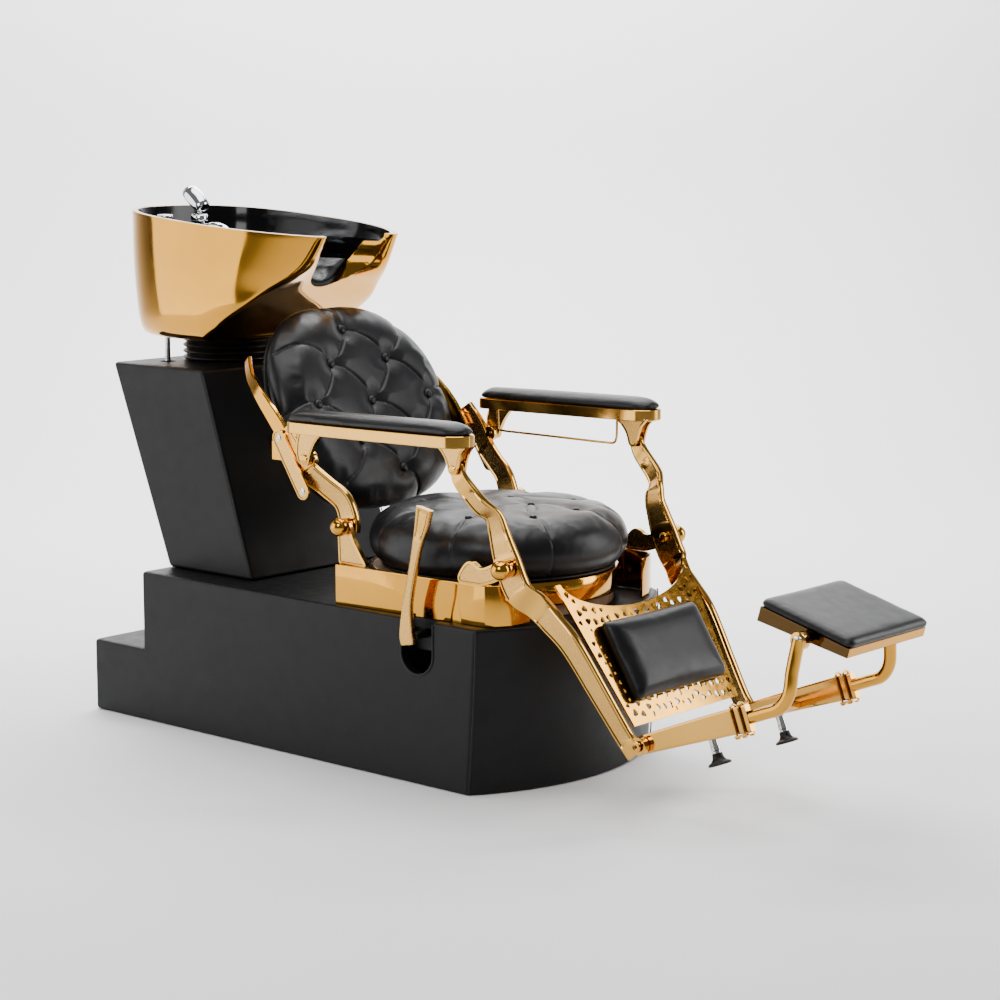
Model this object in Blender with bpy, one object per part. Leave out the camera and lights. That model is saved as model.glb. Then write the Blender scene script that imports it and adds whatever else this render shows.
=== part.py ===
"""Barber-style shampoo backwash unit, in metres, +Z up.

X runs across the chair (the occupant's right is -X), the feet point to -Y and the basin is at +Y.
The origin lies on the floor at the centre of the plinth's footprint.
"""
import math

import bmesh
import bpy
from mathutils import Matrix, Vector

TOUCH = 0.0003                  # gap kept between pieces that touch
SIDES = (("right", -1), ("left", 1))

# plinth and column
PLINTH_HALF_WIDTH = 0.272
PLINTH_REAR = 0.58
PLINTH_APEX = -0.58             # foremost point of the bowed front
PLINTH_CORNER = -0.49           # where the straight sides meet the bow
PLINTH_TOE = 0.02               # the front leans back this much towards the floor
PLINTH_HEIGHT = 0.313
PLINTH_WALL = 0.018
STEP_HEIGHT = 0.151
STEP_FRONT = 0.425
BOARD_THICKNESS = 0.018
SLOT_CENTRE = -0.346            # lever slot in the right side
SLOT_RADIUS = 0.040
SLOT_BOTTOM = 0.210
COLUMN_HALF_WIDTH = 0.205
COLUMN_WALL = 0.016
COLUMN_TOP = 0.73
COLUMN_FOOT_FRONT = 0.165
COLUMN_FOOT_REAR = 0.416
COLUMN_TOP_FRONT = 0.305
COLUMN_TOP_REAR = 0.58

# basin
BASIN_BOTTOM = 0.782
RIM_REAR = 1.046                # rim height above the column's rear edge
RIM_SLOPE = 0.088               # the rim drops this much per metre towards the chair
DECK = 0.985                    # tap deck inside the rear of the bowl
WIDEST = 0.326                  # Y of the bowl's widest section
BELLOWS_Y = 0.44
BELLOWS_RADIUS = 0.100
BASIN_PIVOT = Vector((0.0, BELLOWS_Y, 0.753))
HOSE_AT = Vector((-0.12, 0.503, 0.0))
BOWL_FLOOR = 0.808
NOTCH_RADIUS = 0.074
NOTCH_CENTRE_Z = 0.967

# seat
SEAT_Y = -0.310
SEAT_RADIUS = 0.256
SEAT_BOTTOM = 0.3815
SEAT_TOP = 0.500
RING_Y = -0.297
RING_RADIUS = 0.243
RING_BOTTOM = 0.335
RING_TOP = 0.381
SKIRT_TOP = 0.390
SKIRT_WALL = 0.005

# pivots of the recline linkage, as (Y, Z)
BACK_PIVOT = (-0.138, 0.4635)
ARM_PIVOT = (-0.062, 0.588)
LEG_PIVOT = (-0.542, 0.4277)
LINK_PIVOT = (-0.440, 0.603)    # open pivot between armrest and leg casting
FOOT_PIVOT = (-0.795, 0.132)
PAD_PIVOT = (-1.105, 0.359)
LEVER_PIVOT = (SLOT_CENTRE, 0.2840)
LEVER_X = -0.2860
BRACKET_X = 0.2455              # middle of the fixed brackets
CASTING_X = 0.232               # middle of the castings at their pivots
ARM_X = 0.2765
PIN_RADIUS = 0.0055
HOLE_RADIUS = 0.0068
BALL_RADIUS = 0.018

MIXER_AT = Vector((0.0, 0.530, 0.0))
CAP_LOW = 1.020
CAP_HEIGHT = 0.013
LEVER_BALL = 0.006
MIXER_PIVOT_Z = CAP_LOW + CAP_HEIGHT + 0.0005 + LEVER_BALL

BACK_TOP = (0.152, 0.862)
BACK_FOOT = (-0.030, 0.464)
BACK_WRAP = 0.030               # the back's sides come forwards by this much
BACK_HALF_WIDTH = 0.232
BACK_REAR = 0.050               # offset of the cushion's rear face
BACK_INNER = (0.06, 0.30, 0.60, 0.89)
LINK_TOP = Vector((0.014, 0.622))
LINK_BOTTOM = Vector((-0.050, 0.524))

PLATE_FOOT = Vector((0.0, -0.766, 0.158))
PLATE_TOP = Vector((0.0, -0.613, 0.3985))
PLATE_HALF_FOOT = 0.158
PLATE_HALF_TOP = 0.196
SIDE_ARM_X = 0.1640
SIDE_ARM_FRONT = (-1.020, 0.2170)
GLIDE_TOP = Vector((0.104, -0.893, 0.164))
GLIDE_STEM_END = Vector((0.104, -0.9085, 0.124))
TRAY_FRONT = Vector((0.0, -1.184, 0.338))
TRAY_SLOPE = math.radians(15.6)

FINISHES = {
    "leather": ((0.020, 0.020, 0.024), 0.42, 0.0),
    "gold": ((0.83, 0.58, 0.24), 0.10, 1.0),
    "chrome": ((0.80, 0.80, 0.82), 0.08, 1.0),
    "gloss_black": ((0.008, 0.008, 0.009), 0.05, 0.0),
    "rubber": ((0.015, 0.015, 0.016), 0.60, 0.0),
    "steel": ((0.45, 0.45, 0.47), 0.35, 1.0),
    "board": ((0.10, 0.08, 0.06), 0.75, 0.0),
    "plastic": ((0.35, 0.36, 0.38), 0.50, 0.0),
}


# ---------------------------------------------------------------- shared tools

def clear_scene():
    for item in list(bpy.data.objects):
        bpy.data.objects.remove(item, do_unlink=True)


def material_for(name, finish):
    """A Principled material of the named finish, for one sub-part."""
    colour, roughness, metallic = FINISHES[finish]
    material = bpy.data.materials.new(name + "_" + finish)
    material.use_nodes = True
    shader = material.node_tree.nodes["Principled BSDF"]
    shader.inputs["Base Color"].default_value = (*colour, 1.0)
    shader.inputs["Roughness"].default_value = roughness
    shader.inputs["Metallic"].default_value = metallic
    return material


def add_piece(name, finish, bm, sharp_angle=35.0):
    """Turn a bmesh into the named object with its finish."""
    bmesh.ops.recalc_face_normals(bm, faces=bm.faces)
    mesh = bpy.data.meshes.new(name)
    bm.to_mesh(mesh)
    bm.free()
    mesh.shade_smooth()
    mesh.set_sharp_from_angle(angle=math.radians(sharp_angle))
    mesh.materials.append(material_for(name, finish))
    piece = bpy.data.objects.new(name, mesh)
    bpy.context.collection.objects.link(piece)
    return piece


def loft(name, finish, rings, ring_shaped=False):
    """Skin a row of outlines that have the same number of points, and cap its ends."""
    bm = bmesh.new()
    rows = [[bm.verts.new(point) for point in ring] for ring in rings]
    pairs = list(zip(rows, rows[1:]))
    if ring_shaped:
        pairs.append((rows[-1], rows[0]))
    count = len(rows[0])
    for lower, upper in pairs:
        for i in range(count):
            j = (i + 1) % count
            bm.faces.new((lower[i], lower[j], upper[j], upper[i]))
    if not ring_shaped:
        bm.faces.new(rows[0][::-1])
        bm.faces.new(rows[-1])
    return add_piece(name, finish, bm)


def side_prism(name, finish, outline, x_from, x_to):
    """A plate cut to an outline of (Y, Z) points, between two X planes."""
    rings = [[Vector((x, y, z)) for y, z in outline] for x in (x_from, x_to)]
    return loft(name, finish, rings)


def plan_prism(name, finish, outline, z_from, z_to):
    """A block with an outline of (X, Y) points, between two heights."""
    rings = [[Vector((x, y, z)) for x, y in outline] for z in (z_from, z_to)]
    return loft(name, finish, rings)


def block(name, finish, low, high):
    outline = [(low[0], low[1]), (high[0], low[1]), (high[0], high[1]), (low[0], high[1])]
    return plan_prism(name, finish, outline, low[2], high[2])


def turned(name, finish, profile, centre, axis="Z", steps=24, hollow=False):
    """Turn a profile of (radius, height) about an axis through centre.

    A hollow profile is a closed loop clear of the axis. A solid one ends in flat discs.
    """
    turn = {"Z": Matrix.Identity(3), "X": Matrix.Rotation(math.pi / 2, 3, "Y")}[axis]
    rings = []
    for radius, height in profile:
        ring = []
        for i in range(steps):
            angle = 2 * math.pi * i / steps
            local = Vector((radius * math.cos(angle), radius * math.sin(angle), height))
            ring.append(Vector(centre) + turn @ local)
        rings.append(ring)
    return loft(name, finish, rings, ring_shaped=hollow)


def smooth_line(points, spans):
    """Points of a Catmull-Rom curve through the given tuples, spans pieces between each two."""
    line = []
    for i in range(len(points) - 1):
        before = points[max(i - 1, 0)]
        here = points[i]
        there = points[i + 1]
        after = points[min(i + 2, len(points) - 1)]
        for step in range(spans):
            t = step / spans
            values = []
            for a, b, c, d in zip(before, here, there, after):
                bend = (2 * a - 5 * b + 4 * c - d) * t * t + (3 * b - a - 3 * c + d) * t ** 3
                values.append(b + 0.5 * ((c - a) * t + bend))
            line.append(tuple(values))
    line.append(tuple(points[-1]))
    return line


def tube(name, finish, route, radius, sides=10):
    """A round bar or hose along a list of points, with flat ends."""
    points = [Vector(point) for point in route]
    last = len(points) - 1
    across = None
    rings = []
    for i, point in enumerate(points):
        tangent = (points[min(i + 1, last)] - points[max(i - 1, 0)]).normalized()
        if across is None:
            across = tangent.orthogonal().normalized()
        across = (across - tangent * across.dot(tangent)).normalized()
        other = tangent.cross(across)
        angles = [2 * math.pi * k / sides for k in range(sides)]
        rings.append([point + (across * math.cos(a) + other * math.sin(a)) * radius for a in angles])
    return loft(name, finish, rings)


def flat_bar(name, finish, stations, chamfer=0.002):
    """A flat casting along stations of (X, Y, Z, width, thickness), its thickness across X."""
    rings = []
    last = len(stations) - 1
    for i, (x, y, z, width, thickness) in enumerate(stations):
        ahead = stations[min(i + 1, last)]
        behind = stations[max(i - 1, 0)]
        along = Vector((0, ahead[1] - behind[1], ahead[2] - behind[2])).normalized()
        side = Vector((0, -along.z, along.y))
        half = width / 2
        depth = thickness / 2
        corners = [(half - chamfer, depth), (half, depth - chamfer)]
        corners += [(half, chamfer - depth), (half - chamfer, -depth)]
        corners += [(chamfer - half, -depth), (-half, chamfer - depth)]
        corners += [(-half, depth - chamfer), (chamfer - half, depth)]
        rings.append([Vector((x + b, y, z)) + side * a for a, b in corners])
    return loft(name, finish, rings)


def rounded_corner(centre, radius, start, end, steps):
    """Points of an arc in a plane, with angles in degrees."""
    angles = [math.radians(start + (end - start) * i / steps) for i in range(steps + 1)]
    return [(centre[0] + radius * math.cos(a), centre[1] + radius * math.sin(a)) for a in angles]


def settle(piece):
    """Replace a piece's mesh by what its modifiers make of it."""
    bpy.context.view_layer.update()
    graph = bpy.context.evaluated_depsgraph_get()
    mesh = bpy.data.meshes.new_from_object(piece.evaluated_get(graph))
    piece.modifiers.clear()
    piece.data = mesh
    return piece


def combine(piece, tools, operation):
    """Cut tools out of a piece, or weld them to it, and remove the tools."""
    for tool in tools:
        modifier = piece.modifiers.new(operation.lower(), "BOOLEAN")
        modifier.operation = operation
        modifier.solver = "EXACT"
        modifier.object = tool
        settle(piece)
        bpy.data.objects.remove(tool, do_unlink=True)
    return piece


def cut(piece, *tools):
    return combine(piece, tools, "DIFFERENCE")


def weld(piece, *tools):
    return combine(piece, tools, "UNION")


def soften(piece, width, segments=2, angle=40.0):
    """Round a piece's sharp edges."""
    modifier = piece.modifiers.new("soften", "BEVEL")
    modifier.width = width
    modifier.segments = segments
    modifier.limit_method = "ANGLE"
    modifier.angle_limit = math.radians(angle)
    return settle(piece)


def pivot_empty(name, x, pivot):
    """An empty on a joint's axis, which its pieces are parented to."""
    empty = bpy.data.objects.new(name, None)
    empty.location = (x, pivot[0], pivot[1])
    bpy.context.collection.objects.link(empty)
    return empty


def hang_on(empty, *pieces):
    """Give pieces the empty's place as their origin and parent them to it."""
    for piece in pieces:
        piece.data.transform(Matrix.Translation(-empty.location))
        piece.parent = empty


def bore(pivot, x_from, x_to, radius=HOLE_RADIUS):
    """A round cutter along X at a pivot."""
    low, high = sorted((x_from, x_to))
    return turned("bore", "steel", [(radius, low), (radius, high)], (0, *pivot), axis="X", steps=16)


# ------------------------------------------------------------ plinth and column

def bowed_outline(corner, apex, rear, half_width, steps=14):
    """Plan outline with straight sides and a bowed front."""
    sagitta = corner - apex
    radius = (half_width ** 2 + sagitta ** 2) / (2 * sagitta)
    spread = math.degrees(math.asin(half_width / radius))
    front = rounded_corner((0.0, apex + radius), radius, -90 - spread, -90 + spread, steps)
    return front + [(half_width, rear), (-half_width, rear)]


def plinth_shell():
    toe = bowed_outline(PLINTH_CORNER + PLINTH_TOE, PLINTH_APEX + PLINTH_TOE, PLINTH_REAR,
                        PLINTH_HALF_WIDTH)
    top = bowed_outline(PLINTH_CORNER, PLINTH_APEX, PLINTH_REAR, PLINTH_HALF_WIDTH)
    rings = [[Vector((x, y, 0.0)) for x, y in toe], [Vector((x, y, PLINTH_HEIGHT)) for x, y in top]]
    shell = loft("plinth_shell", "leather", rings)
    cut(shell, block("step", "leather", (-1, STEP_FRONT, STEP_HEIGHT), (1, 1, 1)))
    soften(shell, 0.007)
    wall = PLINTH_WALL
    inner = bowed_outline(PLINTH_CORNER + PLINTH_TOE + wall, PLINTH_APEX + PLINTH_TOE + wall,
                          STEP_FRONT - wall, PLINTH_HALF_WIDTH - wall)
    room = plan_prism("room", "leather", inner, -0.1, PLINTH_HEIGHT - wall)
    rear_room = block("rear_room", "leather", (wall - PLINTH_HALF_WIDTH, 0.3, -0.1),
                      (PLINTH_HALF_WIDTH - wall, PLINTH_REAR - wall, STEP_HEIGHT - wall))
    pipe_way = block("pipe_way", "leather", (-0.11, 0.215, 0.2), (0.11, 0.385, 0.4))
    outlet = block("outlet", "leather", (-0.09, 0.5, -0.1), (0.09, 0.7, 0.085))
    slot_low = SLOT_BOTTOM + SLOT_RADIUS
    arch = rounded_corner((SLOT_CENTRE, slot_low), SLOT_RADIUS, 180, 360, 12)
    arch += [(SLOT_CENTRE + SLOT_RADIUS, 0.5), (SLOT_CENTRE - SLOT_RADIUS, 0.5)]
    slot = side_prism("slot", "leather", arch, -0.3, -PLINTH_HALF_WIDTH + wall + 0.002)
    return cut(shell, room, rear_room, pipe_way, outlet, slot)


def plinth_base_board():
    gap = PLINTH_WALL + TOUCH
    outline = bowed_outline(PLINTH_CORNER + PLINTH_TOE + gap, PLINTH_APEX + PLINTH_TOE + gap,
                            PLINTH_REAR - gap, PLINTH_HALF_WIDTH - gap)
    return plan_prism("plinth_base_board", "board", outline, 0.0, BOARD_THICKNESS)


def column_side(inset, foot, top):
    """The column's slanted side outline, drawn in by inset."""
    rise = COLUMN_TOP - PLINTH_HEIGHT
    front_lean = (COLUMN_TOP_FRONT - COLUMN_FOOT_FRONT) / rise
    rear_lean = (COLUMN_TOP_REAR - COLUMN_FOOT_REAR) / rise
    outline = []
    for z, start, lean, shift in ((foot, COLUMN_FOOT_FRONT, front_lean, inset),
                                  (foot, COLUMN_FOOT_REAR, rear_lean, -inset),
                                  (top, COLUMN_FOOT_REAR, rear_lean, -inset),
                                  (top, COLUMN_FOOT_FRONT, front_lean, inset)):
        outline.append((start + lean * (z - PLINTH_HEIGHT) + shift, z))
    return outline


def column_shell():
    shell = side_prism("column_shell", "leather", column_side(0.0, PLINTH_HEIGHT + TOUCH, COLUMN_TOP),
                       -COLUMN_HALF_WIDTH, COLUMN_HALF_WIDTH)
    soften(shell, 0.008)
    inner = COLUMN_HALF_WIDTH - COLUMN_WALL
    room = side_prism("room", "leather", column_side(COLUMN_WALL * 1.1, 0.2, COLUMN_TOP - COLUMN_WALL),
                      -inner, inner)
    well = turned("well", "leather", [(0.066, 0.6), (0.066, 0.8)], (0, BELLOWS_Y, 0))
    grommet = turned("grommet", "leather", [(0.017, 0.6), (0.017, 0.8)], HOSE_AT, steps=16)
    return cut(shell, room, well, grommet)


# ------------------------------------------------------------------- plumbing

def waste_pipe():
    """Open cup under the basin's tailpiece, welded to the pipe that leaves at the plinth's rear."""
    route = smooth_line([(0, BELLOWS_Y, 0.625), (0, 0.42, 0.54), (0, 0.34, 0.38), (0, 0.30, 0.26),
                         (0, 0.31, 0.13), (0, 0.36, 0.06), (0, 0.46, 0.045), (0, 0.577, 0.045)], 3)
    pipe = tube("waste_pipe", "plastic", route, 0.020, sides=10)
    cup = turned("cup", "plastic", [(0.022, 0.605), (0.041, 0.635), (0.041, 0.665)],
                 (0, BELLOWS_Y, 0), steps=16)
    hollow = turned("hollow", "plastic", [(0.030, 0.632), (0.038, 0.640), (0.038, 0.70)],
                    (0, BELLOWS_Y, 0), steps=16)
    weld(pipe, cup)
    return cut(pipe, hollow)


def water_hose(name, side):
    """One braided supply hose, from the column's head to the outlet at the rear."""
    x = side * 0.056
    route = smooth_line([(x, 0.43, 0.705), (x, 0.41, 0.56), (x, 0.33, 0.38), (x, 0.29, 0.25),
                         (x, 0.31, 0.11), (x, 0.39, 0.035), (x, 0.50, 0.032), (x, 0.577, 0.034)], 3)
    return tube(name, "steel", route, 0.007, sides=6)


def drain_tailpiece():
    """Threaded tail of the drain, from the bowl's floor down into the waste cup."""
    return turned("drain_tailpiece", "chrome",
                  [(0.020, 0.655), (0.020, BOWL_FLOOR - 0.001)], (0, BELLOWS_Y, 0), steps=14)


def drain_strainer():
    centre = (0, BELLOWS_Y, 0)
    profile = [(0.026, TOUCH), (0.031, 0.002), (0.026, 0.004), (0.010, 0.0035)]
    profile = [(radius, BOWL_FLOOR + height) for radius, height in profile]
    return turned("drain_strainer", "chrome", profile, centre, steps=18)


# ---------------------------------------------------------------------- basin

# height, half width, rear, front corner (X, Y), front centre Y, share of the rim's slope
BASIN_SECTIONS = (
    (0.7820, 0.150, 0.575, 0.095, 0.325, 0.320, 0.0),
    (0.7860, 0.175, 0.598, 0.140, 0.315, 0.312, 0.0),
    (0.7970, 0.190, 0.608, 0.170, 0.300, 0.302, 0.0),
    (0.8250, 0.199, 0.613, 0.189, 0.262, 0.268, 0.0),
    (0.8650, 0.204, 0.616, 0.181, 0.200, 0.216, 0.1),
    (0.9050, 0.207, 0.618, 0.156, 0.154, 0.172, 0.3),
    (0.9450, 0.209, 0.619, 0.129, 0.110, 0.136, 0.6),
    (0.9850, 0.210, 0.619, 0.114, 0.082, 0.112, 0.9),
    (1.0460, 0.210, 0.619, 0.104, 0.047, 0.090, 1.0),
)


def bowl_outline(half_width, rear, corner_x, corner_y, front, height, slope, inset=0.0):
    """One level of the bowl: a squarish rear, flanks that taper to two corners, a front between."""
    squareness = 0.7146
    width = half_width - inset
    half = []
    for i in range(7):
        angle = math.pi / 2 * i / 7
        half.append((width * math.sin(angle) ** squareness,
                     WIDEST + (rear - inset - WIDEST) * math.cos(angle) ** squareness))
    ends = (corner_x - inset * 0.4, corner_y + inset * 1.2)
    for i in range(6):
        t = i / 6
        bend = (1 - t) ** 2, 2 * t * (1 - t), t * t
        control = (width, WIDEST + 0.6227 * (ends[1] - WIDEST))
        half.append((bend[0] * width + bend[1] * control[0] + bend[2] * ends[0],
                     bend[0] * WIDEST + bend[1] * control[1] + bend[2] * ends[1]))
    for i in range(3):
        t = i / 3
        half.append((ends[0] * (1 - t), ends[1] + (front + inset - ends[1]) * (1 - (1 - t) ** 2)))
    half.append((0.0, front + inset))
    plan = half + [(-x, y) for x, y in half[-2:0:-1]]
    return [Vector((x, y, height - slope * RIM_SLOPE * (PLINTH_REAR - y))) for x, y in plan]


def basin_bowl():
    rings = [bowl_outline(w, rear, cx, cy, front, z, slope)
             for z, w, rear, cx, cy, front, slope in BASIN_SECTIONS]
    bowl = loft("basin_bowl", "gold", rings)
    deck_room = loft("deck_room", "gold", [
        bowl_outline(0.210, 0.619, 0.110, 0.054, 0.100, DECK, 0.0, 0.016),
        bowl_outline(0.210, 0.619, 0.100, 0.050, 0.095, RIM_REAR + 0.03, 1.0, 0.011)])
    levels = ((BOWL_FLOOR, 0.100, 0.486, 0.055, 0.335, 0.330), (0.814, 0.122, 0.492, 0.070, 0.312, 0.308),
              (0.835, 0.146, 0.494, 0.100, 0.275, 0.276), (0.870, 0.168, 0.495, 0.125, 0.225, 0.238),
              (0.915, 0.184, 0.496, 0.125, 0.160, 0.200), (1.000, 0.190, 0.497, 0.100, 0.090, 0.140))
    sink = loft("sink", "gold", [bowl_outline(w, rear, cx, cy, front, z, 0.0)
                                 for z, w, rear, cx, cy, front in levels])
    rings = []
    for y, radius in ((0.010, 0.104), (0.165, NOTCH_RADIUS), (0.330, NOTCH_RADIUS)):
        arc = rounded_corner((0.0, NOTCH_CENTRE_Z), radius, 180, 360, 14)
        arc += [(radius + 0.006, 1.08), (-radius - 0.006, 1.08)]
        rings.append([Vector((x, y, z)) for x, z in arc])
    notch = loft("notch", "gold", rings)
    drain = turned("drain", "gold", [(0.0206, 0.7), (0.0206, 0.9)], (0, BELLOWS_Y, 0), steps=16)
    hose_hole = turned("hose_hole", "gold", [(0.0068, 0.7), (0.0068, 1.1)], HOSE_AT, steps=12)
    return cut(bowl, deck_room, sink, notch, drain, hose_hole)


def neck_rest():
    """Soft saddle lying in the notch, with a lip in front of the bowl."""
    outer = NOTCH_RADIUS - TOUCH * 2
    rings = []
    for y, inner in ((0.166, 0.067), (0.170, 0.059), (0.184, 0.056), (0.238, 0.060), (0.246, 0.066)):
        low = rounded_corner((0.0, NOTCH_CENTRE_Z), outer, 196, 344, 14)
        high = rounded_corner((0.0, NOTCH_CENTRE_Z), inner, 344, 196, 14)
        rings.append([Vector((x, y, z)) for x, z in low + high])
    return loft("neck_rest", "gloss_black", rings)


def basin_bellows():
    """Ribbed rubber sleeve that hides the tilt bracket."""
    bottom = COLUMN_TOP + TOUCH
    height = BASIN_BOTTOM - TOUCH - bottom
    ribs = 3
    outside = []
    for i in range(2 * ribs + 1):
        radius = BELLOWS_RADIUS if i % 2 else BELLOWS_RADIUS - 0.008
        outside.append((radius, bottom + height * i / (2 * ribs)))
    inside = [(radius - 0.004, z) for radius, z in reversed(outside)]
    return turned("basin_bellows", "rubber", outside + inside, (0, BELLOWS_Y, 0), steps=18, hollow=True)


def basin_tilt_bracket():
    """Ring plate on the column's head with two ears for the basin's trunnions."""
    low = COLUMN_TOP + TOUCH
    plate = turned("basin_tilt_bracket", "steel",
                   [(0.080, low), (0.080, low + 0.006), (0.066, low + 0.006), (0.066, low)],
                   (0, BELLOWS_Y, 0), steps=18, hollow=True)
    for side in (-1, 1):
        x = side * 0.072
        ear = [(BELLOWS_Y - 0.016, low + 0.003), (BELLOWS_Y + 0.016, low + 0.003)]
        ear += rounded_corner((BASIN_PIVOT.y, BASIN_PIVOT.z), 0.011, 0, 180, 8)
        weld(plate, side_prism("ear", "steel", ear, x - 0.003, x + 0.003))
    return cut(plate, bore((BASIN_PIVOT.y, BASIN_PIVOT.z), -0.1, 0.1))


def basin_hinge_bracket():
    """Plate under the bowl with two ears and trunnions that turn in the tilt bracket."""
    high = BASIN_BOTTOM - TOUCH
    low = high - 0.006
    plate = turned("basin_hinge_bracket", "steel",
                   [(0.062, low), (0.062, high), (0.024, high), (0.024, low)],
                   (0, BELLOWS_Y, 0), steps=18, hollow=True)
    for side in (-1, 1):
        x = side * 0.0615
        ear = rounded_corner((BASIN_PIVOT.y, BASIN_PIVOT.z), 0.009, 180, 360, 8)
        ear += [(BELLOWS_Y + 0.012, high - 0.002), (BELLOWS_Y - 0.012, high - 0.002)]
        trunnion = turned("trunnion", "steel", [(PIN_RADIUS, 0.060), (PIN_RADIUS, 0.076)],
                          (0, BASIN_PIVOT.y, BASIN_PIVOT.z), axis="X", steps=16)
        trunnion.data.transform(Matrix.Scale(side, 4, Vector((1, 0, 0))))
        if side < 0:
            trunnion.data.flip_normals()
        weld(plate, side_prism("ear", "steel", ear, x - 0.004, x + 0.004), trunnion)
    return plate


def spray_hose():
    """Metal hose of the hand spray, from the tap deck down into the column's head."""
    route = [(HOSE_AT.x, HOSE_AT.y, z) for z in (0.66, 0.74, 0.83, 0.90, DECK - 0.002)]
    return tube("spray_hose", "chrome", route, 0.006, sides=12)


def hand_spray():
    """Short hand spray standing in its collar on the tap deck."""
    profile = [(0.013, DECK + TOUCH), (0.016, DECK + 0.004), (0.016, DECK + 0.016),
               (0.011, DECK + 0.020), (0.011, DECK + 0.034), (0.017, DECK + 0.045),
               (0.015, DECK + 0.050)]
    return turned("hand_spray", "chrome", profile, HOSE_AT, steps=16)


def mixer_body():
    """Mixer pillar on the tap deck with its short spout."""
    profile = [(0.025, DECK + TOUCH), (0.025, DECK + 0.005), (0.017, DECK + 0.008),
               (0.017, CAP_LOW - TOUCH)]
    body = turned("mixer_body", "chrome", profile, MIXER_AT, steps=20)
    spout = smooth_line([MIXER_AT + Vector((0, 0, DECK + 0.014)),
                         MIXER_AT + Vector((0, -0.040, DECK + 0.022)),
                         MIXER_AT + Vector((0, -0.085, DECK + 0.012))], 4)
    return weld(body, tube("spout", "chrome", spout, 0.009))


def mixer_cap():
    """Swivelling head of the mixer that carries the lever."""
    profile = [(0.018, CAP_LOW), (0.018, CAP_LOW + 0.010), (0.015, CAP_LOW + CAP_HEIGHT)]
    return turned("mixer_cap", "chrome", profile, MIXER_AT, steps=20)


def mixer_lever():
    """Broad domed lever, tilted up over the mixer's head on a ball-ended stem."""
    lean = math.radians(38)
    base = MIXER_AT + Vector((0, 0.006, CAP_LOW + CAP_HEIGHT + 0.015))
    rings = []
    for along, half, height in ((-0.030, 0.016, 0.012), (-0.024, 0.021, 0.020), (0.0, 0.022, 0.026),
                                (0.024, 0.019, 0.024), (0.036, 0.012, 0.015)):
        arc = rounded_corner((0.0, 0.0), 1.0, 0, 180, 8)
        ring = []
        for across, up in arc + [(-1.0, -0.15), (1.0, -0.15)]:
            local = Vector((across * half, along + 0.010, up * height + 0.006))
            local.rotate(Matrix.Rotation(lean, 3, "X"))
            ring.append(base + local)
        rings.append(ring)
    lever = loft("mixer_lever", "chrome", rings)
    ball = [(LEVER_BALL * math.cos(a), MIXER_PIVOT_Z + LEVER_BALL * math.sin(a))
            for a in [math.radians(angle) for angle in (-80, -60, -40, -20, 0)]]
    stem = turned("stem", "chrome", ball + [(LEVER_BALL, MIXER_PIVOT_Z + 0.031)], MIXER_AT, steps=12)
    return weld(lever, stem)


# ----------------------------------------------------------------------- seat

def seat_skirt(name, side):
    """Bent sheet-metal side of the seat's foot: a front return, the side and a short rear return."""
    outer = [(0.168, -0.532), (0.205, -0.519), (0.232, -0.503), (0.243, -0.488), (0.259, -0.1225),
             (0.190, -0.1225)]
    wall = SKIRT_WALL
    inner = [(0.190, -0.1225 - wall), (0.259 - wall, -0.1225 - wall), (0.243 - wall, -0.486),
             (0.230 - wall, -0.499), (0.205 - 0.002, -0.519 + wall), (0.168, -0.532 + wall)]
    outline = [(side * x, y) for x, y in outer + inner]
    return plan_prism(name, "gold", outline, PLINTH_HEIGHT + TOUCH, SKIRT_TOP)


def seat_ring():
    profile = [(RING_RADIUS - 0.004, RING_BOTTOM), (RING_RADIUS, RING_BOTTOM + 0.003),
               (RING_RADIUS, RING_TOP - 0.003), (RING_RADIUS - 0.004, RING_TOP),
               (RING_RADIUS - 0.009, RING_TOP), (RING_RADIUS - 0.009, RING_BOTTOM)]
    return turned("seat_ring", "gold", profile, (0, RING_Y, 0), steps=40, hollow=True)


def seat_base():
    """Drum that carries the ring and the cushion, open underneath."""
    low = PLINTH_HEIGHT + TOUCH
    radius = RING_RADIUS - 0.0095
    drum = turned("seat_base", "board", [(radius, low), (radius, RING_TOP - 0.001)],
                  (0, RING_Y, 0), steps=40)
    room = turned("room", "board", [(radius - 0.02, 0.2), (radius - 0.02, RING_TOP - 0.02)],
                  (0, RING_Y, 0), steps=20)
    return cut(drum, room)


def seat_cushion():
    radius = SEAT_RADIUS
    profile = [(radius - 0.035, SEAT_BOTTOM), (radius - 0.010, SEAT_BOTTOM + 0.014),
               (radius, SEAT_BOTTOM + 0.042), (radius - 0.005, SEAT_BOTTOM + 0.070),
               (radius - 0.026, SEAT_BOTTOM + 0.092), (radius - 0.070, SEAT_BOTTOM + 0.106),
               (0.080, SEAT_TOP)]
    return turned("seat_cushion", "leather", profile, (0, SEAT_Y, 0), steps=32)


def bracket(name, side, outline, pivot):
    x = side * BRACKET_X
    plate = side_prism(name, "gold", outline, x - 0.005, x + 0.005)
    return cut(plate, bore(pivot, x - 0.02, x + 0.02))


def rear_bracket(name, side):
    foot = SKIRT_TOP + TOUCH
    outline = [(-0.1240, foot), (-0.122, 0.440)]
    outline += rounded_corner(BACK_PIVOT, 0.0165, 0, 180, 8)
    outline += [(-0.162, 0.440), (-0.175, 0.422), (-0.196, foot + 0.004), (-0.196, foot)]
    return bracket(name, side, outline, BACK_PIVOT)


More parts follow.
